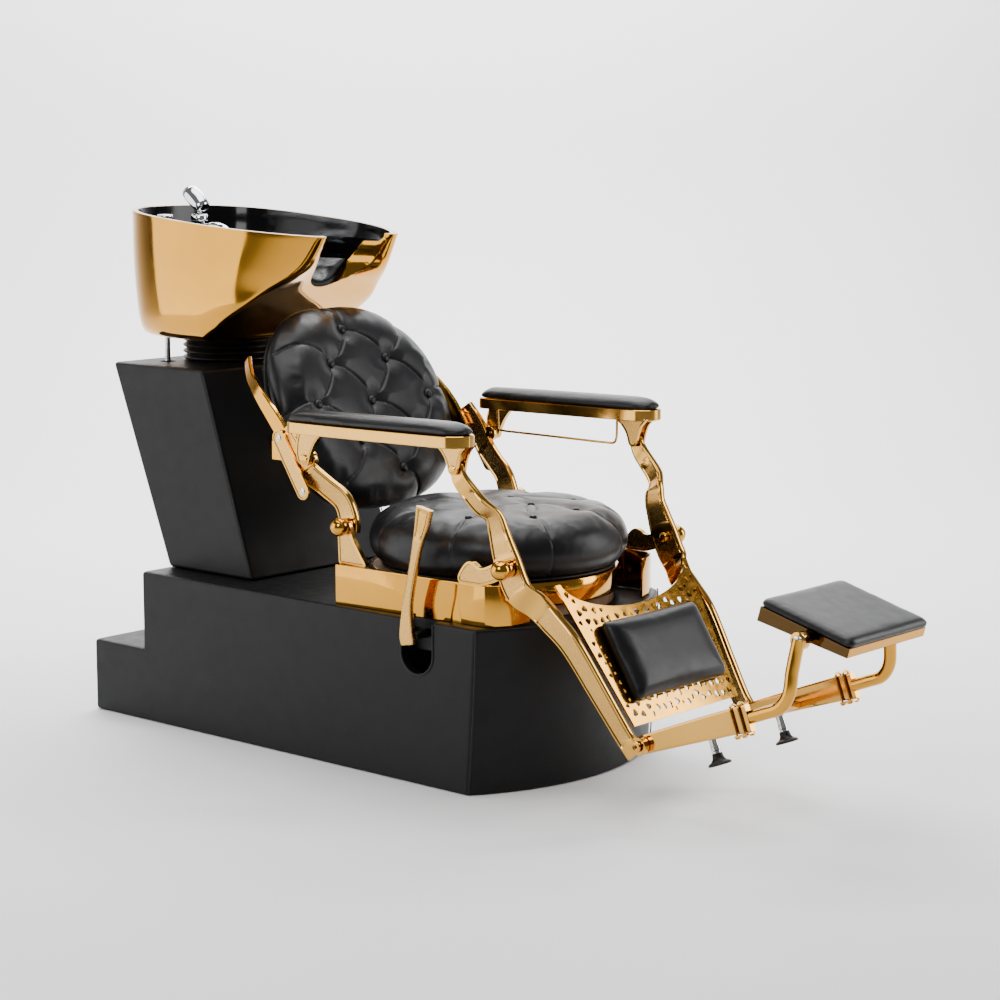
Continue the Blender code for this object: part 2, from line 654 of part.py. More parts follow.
def front_bracket(name, side):
    foot = SKIRT_TOP + TOUCH
    outline = [(-0.484, foot), (-0.430, foot), (-0.427, 0.402), (-0.436, 0.417), (-0.448, 0.431),
               (-0.460, 0.4345), (-0.470, 0.430), (-0.478, 0.4235), (-0.490, 0.424), (-0.525, 0.4395)]
    outline += rounded_corner(LEG_PIVOT, 0.0165, 60, 180, 6)
    outline += rounded_corner(LEG_PIVOT, 0.0165, 200, 290, 5)
    outline += [(-0.520, 0.402)]
    return bracket(name, side, outline, LEG_PIVOT)


def pivot_pin(name, side, pivot):
    """Ball-headed pin through bracket and casting, with a nut inside."""
    face = BRACKET_X + 0.005 + TOUCH
    ball_x = 0.2625
    profile = []
    start = math.degrees(math.acos((face - ball_x) / BALL_RADIUS))
    for i in range(6):
        angle = math.radians(start * (1 - i / 6.3))
        profile.append((BALL_RADIUS * math.sin(angle), ball_x + BALL_RADIUS * math.cos(angle)))
    inner = CASTING_X - 0.007 - 0.001
    nut = [(0.009, inner - 0.006), (0.009, inner), (PIN_RADIUS, inner), (PIN_RADIUS, face)]
    pin = turned(name, "gold", nut + profile, (0, *pivot), axis="X", steps=14)
    if side < 0:
        pin.data.transform(Matrix.Scale(-1, 4, Vector((1, 0, 0))))
        pin.data.flip_normals()
    return pin


def recline_lock():
    """Lock housing inside the plinth, with the shaft that the lever turns on."""
    housing = block("recline_lock", "steel", (-0.24, SLOT_CENTRE - 0.03, 0.250),
                    (-0.10, SLOT_CENTRE + 0.03, PLINTH_HEIGHT - PLINTH_WALL - TOUCH))
    shaft = turned("shaft", "steel", [(0.008, LEVER_X + 0.0055 + TOUCH), (0.008, -0.22)], (0, *LEVER_PIVOT),
                   axis="X", steps=14)
    return weld(housing, shaft)


# ----------------------------------------------------------------- reclining back

def back_casting(name, side):
    """S-shaped casting from the rear pivot up to the link plate."""
    x = side
    stations = smooth_line([
        (x * CASTING_X, -0.141, 0.448, 0.036, 0.013), (x * CASTING_X, -0.137, 0.470, 0.046, 0.013),
        (x * 0.234, -0.121, 0.508, 0.044, 0.013), (x * 0.244, -0.086, 0.535, 0.042, 0.013),
        (x * 0.255, -0.051, 0.562, 0.044, 0.013), (x * 0.261, -0.024, 0.600, 0.042, 0.013),
        (x * 0.261, 0.005, 0.640, 0.030, 0.012)], 3)
    casting = flat_bar(name, "gold", stations)
    lug = [(-0.045, 0.560), (-0.030, 0.605)]
    lug += rounded_corner(ARM_PIVOT, 0.015, 40, 250, 8)
    centre = side * 0.2610
    weld(casting, side_prism("lug", "gold", lug, centre - 0.006, centre + 0.006))
    cut(casting, bore(BACK_PIVOT, side * 0.2, side * 0.26), bore(ARM_PIVOT, side * 0.24, side * 0.29))
    return casting


def link_plate(name, side):
    """Slotted plate that joins the casting to the back frame."""
    lean = math.degrees(math.atan2(LINK_TOP.y - LINK_BOTTOM.y, LINK_TOP.x - LINK_BOTTOM.x))
    outline = rounded_corner(LINK_TOP, 0.016, lean - 90, lean + 90, 8)
    outline += rounded_corner(LINK_BOTTOM, 0.016, lean + 90, lean + 270, 8)
    return side_prism(name, "gold", outline, side * 0.2680, side * 0.2735)


def back_frame():
    """One bent flat bar: a strap up each side of the back and a beam that leans behind it."""
    outer = [(0.2535, 0.004), (0.2535, 0.052), (0.2050, 0.1180)]
    inner = [(0.2000, 0.1080), (0.2435, 0.048), (0.2435, 0.004)]
    outline = outer + [(-x, y) for x, y in reversed(outer)] + [(-x, y) for x, y in reversed(inner)] + inner
    lean = 0.0166
    rings = [[Vector((x, y - (lean if y > 0.1 else 0.0), z)) for x, y in outline]
             for z, lean in ((0.576, lean), (0.612, 0.0))]
    frame = loft("back_frame", "gold", rings)
    for side in (-1, 1):
        strap = [(side * 0.2485, 0.006, 0.596, 0.034, 0.010), (side * 0.2490, 0.036, 0.640, 0.032, 0.010),
                 (side * 0.2460, 0.082, 0.686, 0.028, 0.010), (side * 0.2250, 0.140, 0.728, 0.022, 0.010),
                 (side * 0.1950, 0.178, 0.758, 0.018, 0.010)]
        weld(frame, flat_bar("strap", "gold", smooth_line(strap, 2)))
    return frame


def back_oval(offset, scale):
    """Oval outline in the leaning plane of the back, offset towards the rear and curved forwards."""
    top = Vector((0, *BACK_TOP))
    foot = Vector((0, *BACK_FOOT))
    up = (top - foot).normalized()
    rearward = Vector((0, up.z, -up.y))
    centre = (top + foot) / 2 + rearward * offset
    half_height = (top - foot).length / 2 * scale
    ring = []
    for i in range(28):
        angle = 2 * math.pi * i / 28
        half_width = BACK_HALF_WIDTH * scale * (1 - 0.05 * math.sin(angle))
        across = math.copysign(abs(math.cos(angle)) ** 0.78, math.cos(angle)) * half_width
        height = math.copysign(abs(math.sin(angle)) ** 0.90, math.sin(angle)) * half_height
        wrap = BACK_WRAP * (across / BACK_HALF_WIDTH) ** 2
        ring.append(centre + Vector((across, 0, 0)) + up * height - rearward * wrap)
    return ring


def back_cushion():
    front = [(-0.030, 0.06), (-0.030, 0.36), (-0.030, 0.62), (-0.020, 0.84), (0.0, 0.965), (0.020, 1.0),
             (0.038, 0.965)]
    rings = [back_oval(*ring) for ring in front]
    rings += [back_oval(BACK_REAR, scale) for scale in reversed(BACK_INNER)]
    return loft("back_cushion", "leather", rings)


def back_board():
    """Moulded shell behind the cushion."""
    near = BACK_REAR + TOUCH
    rings = [back_oval(near + 0.012, scale) for scale in (*BACK_INNER, 0.92)]
    rings += [back_oval(near + 0.006, 0.94), back_oval(near, 0.92)]
    rings += [back_oval(near, scale) for scale in reversed(BACK_INNER)]
    return loft("back_board", "leather", rings)


# ------------------------------------------------------------------- armrests

def arm_outline(x, shrink=0.0):
    """Plan outline of an armrest: a broad round front and a narrower rear."""
    front, rear = -0.481 + shrink, -0.030 - shrink
    stations = [(rear, 0.012), (rear - 0.004, 0.020), (rear - 0.020, 0.026), (-0.18, 0.032),
                (-0.36, 0.0355), (front + 0.035, 0.034), (front + 0.014, 0.026), (front + 0.003, 0.014)]
    right = [(x + half - shrink, y) for y, half in stations]
    left = [(x - half + shrink, y) for y, half in reversed(stations)]
    return right + [(x, front)] + left


def arm_level(y, height):
    """The armrest rises slightly towards its front."""
    return height + 0.014 * (ARM_PIVOT[0] - y)


def armrest_frame(name, side):
    """Cast tray with a rear foot that turns on the back casting and a fork over the leg casting."""
    x = side * ARM_X
    outline = arm_outline(x)
    tray = loft(name, "gold", [[Vector((px, py, arm_level(py, z))) for px, py in outline]
                               for z in (0.6385, 0.6610)])
    foot_x = side * 0.2750
    foot = [(-0.052, 0.644), (-0.040, 0.600), (-0.045, 0.582)]
    foot += rounded_corner(ARM_PIVOT, 0.013, -60, -170, 5)
    foot += [(-0.078, 0.598), (-0.092, 0.622), (-0.112, 0.644)]
    rear_foot = side_prism("rear_foot", "gold", foot, foot_x - 0.0045, foot_x + 0.0045)
    pin = bore(ARM_PIVOT, side * 0.2520, side * 0.2760, PIN_RADIUS)
    fork_x = side * 0.2640
    cheek = [(-0.378, 0.648), (-0.404, 0.628), (-0.4275, 0.5985)]
    cheek += rounded_corner(LINK_PIVOT, 0.0110, -20, -160, 6)
    cheek += [(-0.4600, 0.625), (-0.4720, 0.648)]
    cheeks = [side_prism("cheek", "gold", cheek, fork_x + low, fork_x + low + 0.005)
              for low in (-0.0135, 0.0085)]
    link_pin = bore(LINK_PIVOT, fork_x - 0.012, fork_x + 0.012, 0.004)
    return weld(tray, rear_foot, pin, *cheeks, link_pin)


def armrest_pad(name, side):
    x = side * ARM_X
    rings = []
    for shrink, z in ((0.001, 0.6613), (0.000, 0.667), (0.004, 0.674), (0.010, 0.679), (0.018, 0.684)):
        rings.append([Vector((px, py, arm_level(py, z))) for px, py in arm_outline(x, shrink)])
    return loft(name, "leather", rings)


def towel_rail():
    """Thin rail under the left armrest for a towel."""
    x = 0.2470
    route = [(x, -0.0935, 0.6380), (x, -0.0945, 0.6060), (x, -0.1010, 0.5990), (x, -0.25, 0.5975),
             (x, -0.3960, 0.5960), (x, -0.4030, 0.6020), (x, -0.4040, 0.6420)]
    return tube("towel_rail", "gold", route, 0.0025, sides=8)


# -------------------------------------------------------------------- leg rest

LEG_STATIONS = (
    (0.2640, -0.4330, 0.6140, 0.026, 0.010), (0.2640, -0.4400, 0.6010, 0.030, 0.010),
    (0.2640, -0.4525, 0.5787, 0.034, 0.012), (0.2575, -0.4910, 0.5393, 0.036, 0.013),
    (0.2385, -0.5060, 0.5189, 0.038, 0.013), (CASTING_X, -0.5114, 0.4945, 0.043, 0.013),
    (CASTING_X, -0.5201, 0.4697, 0.050, 0.013), (CASTING_X, -0.5328, 0.4381, 0.0585, 0.013),
    (CASTING_X, -0.5494, 0.4022, 0.0605, 0.013), (0.2300, -0.5652, 0.3800, 0.058, 0.013),
    (0.2125, -0.5860, 0.3610, 0.054, 0.013), (0.2075, -0.6170, 0.3350, 0.050, 0.013),
    (0.2020, -0.6580, 0.2960, 0.046, 0.013), (0.1900, -0.7130, 0.2150, 0.042, 0.013),
    (0.1810, -0.7590, 0.1480, 0.038, 0.013), (0.1790, -0.7880, 0.1160, 0.040, 0.013),
)


def leg_casting(name, side):
    """Swinging casting from the armrest's fork, over the front pivot, down to the foot frame."""
    stations = [(side * s[0], *s[1:]) for s in LEG_STATIONS]
    casting = flat_bar(name, "gold", stations)
    boss = turned("boss", "gold", [(0.017, 0.1725), (0.017, 0.1855)], (0, *FOOT_PIVOT), axis="X", steps=16)
    if side < 0:
        boss.data.transform(Matrix.Scale(-1, 4, Vector((1, 0, 0))))
        boss.data.flip_normals()
    weld(casting, boss)
    return cut(casting, bore(LINK_PIVOT, side * 0.25, side * 0.28, 0.0085),
               bore(LEG_PIVOT, side * 0.2, side * 0.26), bore(FOOT_PIVOT, side * 0.16, side * 0.2))


def plate_point(across, along, depth):
    """A point on the fretwork plate: across and along run from 0 to 1, depth is forwards."""
    slope = (PLATE_TOP - PLATE_FOOT).normalized()
    forward = Vector((0, -slope.z, slope.y))
    half = PLATE_HALF_FOOT + (PLATE_HALF_TOP - PLATE_HALF_FOOT) * along
    return PLATE_FOOT.lerp(PLATE_TOP, along) + Vector((across * half, 0, 0)) + forward * depth


def fretwork_plate():
    """Pierced plate between the leg castings, with a hollowed top edge."""
    outline = [(-1.0, 0.0), (1.0, 0.0), (1.0, 1.0), (0.93, 1.0)]
    outline += [(0.93 * math.cos(a), 1.0 - 0.23 * math.sin(a)) for a in
                [math.pi * i / 10 for i in range(1, 10)]]
    outline += [(-0.93, 1.0), (-1.0, 1.0)]
    plate = loft("fretwork_plate", "gold",
                 [[plate_point(u, v, depth) for u, v in outline] for depth in (-0.002, 0.002)])
    holes = []
    for column in range(7):
        across = -0.84 + 0.28 * column
        rows = [0.08, 0.725]
        if abs(across) > 0.8:
            rows += [0.24, 0.42, 0.58]
        for row in rows:
            turn = column * 1.1 + row * 9
            corners = [turn + math.pi / 2 * k for k in range(4)]
            centre = (across, row)
            holes.append([(centre[0] + 0.055 * math.cos(a), centre[1] + 0.030 * math.sin(a))
                          for a in corners])
    for hole in holes:
        cutter = loft("hole", "gold",
                      [[plate_point(u, v, depth) for u, v in hole] for depth in (-0.01, 0.01)])
        cut(plate, cutter)
    return plate


def calf_pad():
    """Cushion on the plate's front face."""
    low, high = 0.175, 0.70
    rings = []
    for depth, inset in ((0.0024, 0.02), (0.008, 0.0), (0.020, 0.0), (0.030, 0.05), (0.036, 0.16)):
        outline = []
        for across, along in ((-1, 0), (1, 0), (1, 1), (-1, 1)):
            outline.append((across * (0.775 - inset), low + inset / 2 + along * (high - low - inset)))
        corners = []
        for index, (u, v) in enumerate(outline):
            behind = outline[index - 1]
            ahead = outline[(index + 1) % 4]
            for other in (behind, ahead):
                corners.append((u + (other[0] - u) * 0.08, v + (other[1] - v) * 0.08))
        rings.append([plate_point(u, v, depth) for u, v in corners])
    return loft("calf_pad", "leather", rings)


# ------------------------------------------------------------------ foot frame

def side_arm(name, side):
    """Box-section arm from the leg's foot, deeper at its front, with its pivot stud."""
    x = side * SIDE_ARM_X
    stations = [(x, FOOT_PIVOT[0] + 0.012, 0.1275, 0.026, 0.014), (x, FOOT_PIVOT[0], 0.132, 0.034, 0.014),
                (x, -0.822, 0.1425, 0.036, 0.014), (x, *SIDE_ARM_FRONT, 0.048, 0.014)]
    arm = flat_bar(name, "gold", stations)
    stud = bore(FOOT_PIVOT, side * 0.1700, side * 0.1890, PIN_RADIUS)
    head = bore(FOOT_PIVOT, side * 0.1885, side * 0.1930, 0.010)
    return weld(arm, stud, head)


def foot_cross_bar():
    """Beam between the side arms with a stud for each glide."""
    beam = block("foot_cross_bar", "gold", (-0.1565, -0.909, 0.158), (0.1565, -0.879, 0.170))
    for side in (-1, 1):
        route = [(side * GLIDE_TOP.x, *GLIDE_TOP.yz), (side * GLIDE_STEM_END.x, *GLIDE_STEM_END.yz)]
        weld(beam, tube("stud", "chrome", route, 0.008))
    return beam


def glide(name, side):
    """Bell-shaped rubber foot on its stud."""
    stem_end = Vector((side * GLIDE_STEM_END.x, *GLIDE_STEM_END.yz))
    down = Vector((0, -0.0155, -0.040)).normalized()
    across = Vector((1, 0, 0))
    other = down.cross(across)
    rings = []
    for radius, depth in ((0.009, 0.0003), (0.010, 0.008), (0.014, 0.014), (0.021, 0.018), (0.021, 0.022)):
        ring = []
        for k in range(16):
            angle = 2 * math.pi * k / 16
            outward = across * math.cos(angle) + other * math.sin(angle)
            ring.append(stem_end + down * depth + outward * radius)
        rings.append(ring)
    return loft(name, "rubber", rings)


def foot_tube(name, side):
    """Bent tube from the side arm's front up to the foot tray's pivot."""
    x = side * 0.1600
    route = smooth_line([(x, SIDE_ARM_FRONT[0] - 0.001, 0.2175), (x, -1.050, 0.2290), (x, -1.078, 0.2420),
                         (side * 0.158, -1.094, 0.268), (side * 0.154, -1.097, 0.305),
                         (side * 0.149, -1.101, 0.340), (side * 0.1465, PAD_PIVOT[0], 0.362)], 2)
    arm = tube(name, "gold", route, 0.0115, sides=10)
    eye_x = side * 0.1430
    eye = bore(PAD_PIVOT, eye_x - 0.008, eye_x + 0.008, 0.016)
    weld(arm, eye)
    return cut(arm, bore(PAD_PIVOT, side * 0.12, side * 0.1443))


def tube_clamp(name, side):
    """Clamp round the side arm's front end."""
    x = side * SIDE_ARM_X
    slope = math.atan2(SIDE_ARM_FRONT[1] - 0.1425, SIDE_ARM_FRONT[0] + 0.822)
    along = Vector((0, math.cos(slope), math.sin(slope)))
    up = Vector((0, math.sin(slope), -math.cos(slope)))
    middle = Vector((x, -1.000, 0.2101))
    rings = []
    for distance in (-0.014, 0.014):
        outline = [(0.0125, -0.032), (0.0125, 0.030), (-0.0125, 0.030), (-0.0125, -0.032)]
        rings.append([middle + along * distance + Vector((a, 0, 0)) + up * b for a, b in outline])
    clamp = loft(name, "gold", rings)
    rings = []
    for distance in (-0.03, 0.03):
        outline = [(0.0074, -0.0245), (0.0074, 0.0245), (-0.0074, 0.0245), (-0.0074, -0.0245)]
        rings.append([middle + along * distance + Vector((a, 0, 0)) + up * b for a, b in outline])
    return cut(clamp, loft("way", "gold", rings))


def pad_point(x, along, height):
    """A point over the foot tray: along runs rearwards from its front edge, height is square to it."""
    front = TRAY_FRONT + Vector((x, 0, 0))
    rearward = Vector((0, math.cos(TRAY_SLOPE), math.sin(TRAY_SLOPE)))
    up = Vector((0, -rearward.z, rearward.y))
    return front + rearward * along + up * height


def foot_tray():
    """Sheet-metal tray, open underneath, with a stud on each side."""
    sides = ((0.0, -0.002), (0.186, -0.012), (0.186, 0.0150), (0.0, 0.0150))
    rings = [[pad_point(x, a, h) for a, h in sides] for x in (-0.122, 0.122)]
    tray = loft("foot_tray", "gold", rings)
    hollow = ((0.003, -0.1), (0.183, -0.1), (0.183, 0.012), (0.003, 0.012))
    rings = [[pad_point(x, a, h) for a, h in hollow] for x in (-0.119, 0.119)]
    cut(tray, loft("hollow", "gold", rings))
    for side in (-1, 1):
        low, high = sorted((side * 0.1205, side * 0.1400))
        weld(tray, bore(PAD_PIVOT, low, high, PIN_RADIUS))
    return tray


def foot_pad():
    rings = []
    for height, inset in ((0.0153, 0.004), (0.020, 0.0), (0.026, 0.001), (0.031, 0.010)):
        ring = []
        half = 0.122 - inset
        low, high = -0.003 + inset, 0.186 - inset
        corner = 0.014
        ring += [(-half, low + corner), (-half + corner, low), (half - corner, low), (half, low + corner)]
        ring += [(half, high - corner), (half - corner, high)]
        ring += [(-half + corner, high), (-half, high - corner)]
        rings.append([pad_point(x, a, height) for x, a in ring])
    return loft("foot_pad", "leather", rings)


# ----------------------------------------------------------------- recline lever

def recline_lever():
    """Cast lever outside the plinth's right wall."""
    x = LEVER_X
    stations = smooth_line([
        (x, -0.3380, 0.268, 0.030, 0.011), (x, -0.3360, 0.280, 0.034, 0.011),
        (x, -0.3350, 0.300, 0.030, 0.011), (x, -0.3370, 0.340, 0.021, 0.011),
        (x, -0.3460, 0.385, 0.018, 0.011), (x, -0.3610, 0.450, 0.020, 0.011),
        (x, -0.3740, 0.495, 0.031, 0.011),
        (x, -0.3810, 0.527, 0.037, 0.011)], 2)
    return flat_bar("recline_lever", "gold", stations)


# ----------------------------------------------------------------------- build

def build():
    clear_scene()
    plinth_shell()
    plinth_base_board()
    column_shell()
    waste_pipe()
    water_hose("hot_water_hose", -1)
    water_hose("cold_water_hose", 1)
    basin_tilt_bracket()
    basin_bellows()
    seat_ring()
    seat_base()
    seat_cushion()
    recline_lock()

    basin = pivot_empty("basin_axis", 0.0, (BASIN_PIVOT.y, BASIN_PIVOT.z))
    hang_on(basin, basin_bowl(), neck_rest(), drain_strainer(), drain_tailpiece(),
            basin_hinge_bracket(), mixer_body(), spray_hose(), hand_spray())
    mixer = pivot_empty("mixer_axis", MIXER_AT.x, (MIXER_AT.y, CAP_LOW))
    mixer_tilt = pivot_empty("mixer_tilt_axis", MIXER_AT.x, (MIXER_AT.y, MIXER_PIVOT_Z))
    hang_on(mixer, mixer_cap())
    hang_on(mixer_tilt, mixer_lever())
    back = pivot_empty("back_axis", 0.0, BACK_PIVOT)
    hang_on(back, back_frame(), back_board(), back_cushion())
    arms = pivot_empty("arm_axis", 0.0, ARM_PIVOT)
    legs = pivot_empty("leg_axis", 0.0, LEG_PIVOT)
    hang_on(legs, fretwork_plate(), calf_pad())
    feet = pivot_empty("foot_axis", 0.0, FOOT_PIVOT)
    hang_on(feet, foot_cross_bar())
    pad = pivot_empty("pad_axis", 0.0, PAD_PIVOT)
    hang_on(pad, foot_tray(), foot_pad())
    lever = pivot_empty("lever_axis", LEVER_X, LEVER_PIVOT)
    hang_on(lever, recline_lever())
    hang_on(arms, towel_rail())

    for word, side in SIDES:
        seat_skirt("seat_skirt_" + word, side)
        rear_bracket("rear_bracket_" + word, side)
        front_bracket("front_bracket_" + word, side)
        pivot_pin("rear_pivot_pin_" + word, side, BACK_PIVOT)
        pivot_pin("front_pivot_pin_" + word, side, LEG_PIVOT)
        hang_on(back, back_casting("back_casting_" + word, side), link_plate("link_plate_" + word, side))
        hang_on(arms, armrest_frame("armrest_frame_" + word, side), armrest_pad("armrest_pad_" + word, side))
        hang_on(legs, leg_casting("leg_casting_" + word, side))
        hang_on(feet, side_arm("side_arm_" + word, side), glide("glide_" + word, side),
                foot_tube("foot_tube_" + word, side), tube_clamp("tube_clamp_" + word, side))


build()
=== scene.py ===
import math

import bmesh
import bpy
import numpy as np
from mathutils import Matrix, Vector
from mathutils.geometry import delaunay_2d_cdt


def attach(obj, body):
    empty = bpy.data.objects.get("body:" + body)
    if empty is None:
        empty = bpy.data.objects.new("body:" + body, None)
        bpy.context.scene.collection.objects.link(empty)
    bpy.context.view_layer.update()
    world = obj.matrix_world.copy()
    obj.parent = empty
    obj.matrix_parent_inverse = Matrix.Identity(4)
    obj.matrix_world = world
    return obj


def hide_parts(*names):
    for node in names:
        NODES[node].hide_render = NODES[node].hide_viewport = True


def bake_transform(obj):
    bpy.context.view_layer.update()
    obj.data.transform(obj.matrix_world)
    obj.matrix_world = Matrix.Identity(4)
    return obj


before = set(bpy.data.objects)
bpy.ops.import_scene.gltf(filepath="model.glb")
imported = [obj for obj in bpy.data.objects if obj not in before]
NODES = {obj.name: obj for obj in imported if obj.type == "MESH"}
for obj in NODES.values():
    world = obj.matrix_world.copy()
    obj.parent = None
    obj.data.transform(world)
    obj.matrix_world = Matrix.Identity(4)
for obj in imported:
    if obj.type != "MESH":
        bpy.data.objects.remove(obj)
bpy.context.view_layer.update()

SIDES = (("right", -1), ("left", 1))
DECK = 0.985
BELLOWS_Y = 0.44
BASIN_BOTTOM = 0.782
BACK_PIVOT = (-0.138, 0.4635)
ARM_PIVOT = (-0.062, 0.588)
LEG_PIVOT = (-0.542, 0.4277)
LINK_PIVOT = (-0.440, 0.603)
FOOT_PIVOT = (-0.795, 0.132)
PAD_PIVOT = (-1.105, 0.359)
CASTING_X = 0.232
BRACKET_X = 0.2455


# ------------------------------------------------------------------ materials

class Finish:
    """A Principled material with its colour, roughness and bump driven by procedural grain."""

    def __init__(self, name, colour, metallic=0.0, roughness=0.5):
        self.material = bpy.data.materials.new(name)
        self.material.use_nodes = True
        self.tree = self.material.node_tree
        self.shader = self.tree.nodes["Principled BSDF"]
        self.colour = colour
        self.roughness = roughness
        self.height = None
        self.shader.inputs["Metallic"].default_value = metallic
        self.place = self.add("ShaderNodeTexCoord").outputs["Object"]

    def add(self, kind, **values):
        node = self.tree.nodes.new(kind)
        for key, value in values.items():
            setattr(node, key, value)
        return node

    def link(self, source, target):
        self.tree.links.new(source, target)

    def stretched(self, stretch):
        mapping = self.add("ShaderNodeMapping")
        mapping.inputs["Scale"].default_value = stretch
        self.link(self.place, mapping.inputs["Vector"])
        return mapping.outputs["Vector"]

    def noise(self, scale, detail=3.0, stretch=None):
        node = self.add("ShaderNodeTexNoise")
        node.inputs["Scale"].default_value = scale
        node.inputs["Detail"].default_value = detail
        self.link(self.stretched(stretch) if stretch else self.place, node.inputs["Vector"])
        return node.outputs["Fac"]

    def cells(self, scale, feature="DISTANCE_TO_EDGE", stretch=None):
        node = self.add("ShaderNodeTexVoronoi", feature=feature)
        node.inputs["Scale"].default_value = scale
        self.link(self.stretched(stretch) if stretch else self.place, node.inputs["Vector"])
        return node.outputs["Distance"]

    def spread(self, source, low, high, start=0.3, end=0.7):
        node = self.add("ShaderNodeMapRange")
        node.inputs["From Min"].default_value = start
        node.inputs["From Max"].default_value = end
        node.inputs["To Min"].default_value = low
        node.inputs["To Max"].default_value = high
        self.link(source, node.inputs["Value"])
        return node.outputs["Result"]

    def tint(self, source, change):
        """Vary the colour by a share either way."""
        ramp = self.add("ShaderNodeValToRGB")
        ramp.color_ramp.elements[0].position = 0.25
        ramp.color_ramp.elements[1].position = 0.75
        ramp.color_ramp.elements[0].color = (*[c * (1 - change) for c in self.colour], 1)
        ramp.color_ramp.elements[1].color = (*[min(1.0, c * (1 + change)) for c in self.colour], 1)
        self.link(source, ramp.inputs["Fac"])
        self.link(ramp.outputs["Color"], self.shader.inputs["Base Color"])
        return self

    def rough(self, source, change):
        value = self.spread(source, self.roughness * (1 - change), self.roughness * (1 + change))
        self.link(value, self.shader.inputs["Roughness"])
        return self

    def bump(self, source, distance, strength=1.0):
        node = self.add("ShaderNodeBump")
        node.inputs["Distance"].default_value = distance
        node.inputs["Strength"].default_value = strength
        self.link(source, node.inputs["Height"])
        if self.height:
            self.link(self.height, node.inputs["Normal"])
        self.height = node.outputs["Normal"]
        self.link(self.height, self.shader.inputs["Normal"])
        return self


def leather_finish(name, colour, roughness, specular, grain=620.0, depth=0.00016, swell=0.00028):
    f = Finish(name, colour, 0.0, roughness)
    f.tint(f.noise(14.0, 4.0), 0.14)
    f.rough(f.noise(42.0, 4.0), 0.10)
    f.bump(f.noise(55.0, 3.0), swell, 0.3)
    f.bump(f.cells(grain), depth, 0.5)
    f.shader.inputs["Specular IOR Level"].default_value = specular
    return f.material


def metal_finish(name, colour, roughness, streak=None, variation=0.3, bump=0.00002, scale=180.0):
    f = Finish(name, colour, 1.0, roughness)
    f.tint(f.noise(9.0, 3.0), 0.05)
    f.rough(f.noise(scale, 5.0, streak), variation)
    f.bump(f.noise(scale * 1.6, 4.0, streak), bump, 0.5)
    return f.material


def plastic_finish(name, colour, roughness, scale=300.0, bump=0.00008, change=0.12, coat=0.0,
                   specular=0.5):
    f = Finish(name, colour, 0.0, roughness)
    f.tint(f.noise(11.0, 3.0), change)
    f.rough(f.noise(90.0, 4.0), 0.25)
    f.bump(f.noise(scale, 4.0), bump, 0.5)
    f.shader.inputs["Specular IOR Level"].default_value = specular
    f.shader.inputs["Coat Weight"].default_value = coat
    f.shader.inputs["Coat Roughness"].default_value = 0.04
    return f.material


GOLD = (0.60, 0.290, 0.036)
PALE_GOLD = (0.62, 0.350, 0.095)
M = {
    "leather": leather_finish("black_leather", (0.0048, 0.0048, 0.0058), 0.36, 0.27),
    "vinyl": leather_finish("black_vinyl", (0.0036, 0.0036, 0.0042), 0.46, 0.20, 900.0, 0.00008, 0.00006),
    "seam": leather_finish("seam_thread", (0.004, 0.004, 0.0045), 0.5, 0.3, 1400.0, 0.0002),
    "basin_gold": metal_finish("mirror_gold_glaze", (0.58, 0.272, 0.030), 0.085, None, 0.35, 0.000010,
                               28.0),
    "gold": metal_finish("polished_gold", GOLD, 0.10, None, 0.35, 0.000015, 60.0),
    "rim": metal_finish("bright_gold_rim", (0.68, 0.365, 0.075), 0.12, None, 0.3, 0.00002, 90.0),
    "panel": metal_finish("satin_gold_panel", PALE_GOLD, 0.27, None, 0.08, 0.000004, 200.0),
    # painted shade: near-black gold on groove floors, recess walls, bored holes, screw slots and hex
    # sockets, where shade falls
    "shaded_groove": metal_finish("painted_shade_groove", (0.075, 0.040, 0.012), 0.42, None, 0.2, 0.00004, 320.0),
    "chrome": metal_finish("chrome", (0.80, 0.81, 0.83), 0.06, None, 0.4, 0.00001, 60.0),
    "screw": metal_finish("screw_steel", (0.82, 0.81, 0.79), 0.20, None, 0.3, 0.00003, 400.0),
    "steel": metal_finish("zinc_steel", (0.42, 0.43, 0.44), 0.38, (1, 1, 12), 0.25, 0.00005, 90.0),
    # painted shade: the foot tray's mirror metal darkened to near black to stand in for the shade on its
    # sides
    "shaded_mirror": metal_finish("painted_shade_mirror", (0.085, 0.048, 0.018), 0.11, None, 0.3, 0.00001, 60.0),
    "gloss": plastic_finish("gloss_black_gel", (0.0028, 0.0028, 0.0032), 0.27, 60.0, 0.00006, 0.2, 0.0,
                            0.09),
    "bowl_black": plastic_finish("gloss_black_enamel", (0.0022, 0.0022, 0.0026), 0.10, 40.0, 0.00001, 0.2,
                                 0.0, 0.22),
    "rubber": plastic_finish("black_rubber", (0.0060, 0.0060, 0.0065), 0.36, 500.0, 0.00010, 0.12, 0.0,
                             0.30),
    "dark": metal_finish("blackened_steel", (0.030, 0.030, 0.031), 0.50, None, 0.2, 0.00004, 160.0),
    "pipe": plastic_finish("grey_pipe", (0.21, 0.22, 0.23), 0.42, 240.0, 0.0001),
    "board": plastic_finish("plywood", (0.30, 0.19, 0.105), 0.62, 90.0, 0.0002, 0.3),
}


# -------------------------------------------------------------- mesh building

def new_piece(name, bm, material, smooth_angle=38.0):
    bmesh.ops.recalc_face_normals(bm, faces=bm.faces)
    mesh = bpy.data.meshes.new(name)
    bm.to_mesh(mesh)
    bm.free()
    piece = bpy.data.objects.new(name, mesh)
    bpy.context.collection.objects.link(piece)
    mesh.materials.append(M[material])
    shade(piece, smooth_angle)
    return piece


def shade(piece, angle=38.0):
    piece.data.shade_smooth()
    if angle < 180:
        piece.data.set_sharp_from_angle(angle=math.radians(angle))


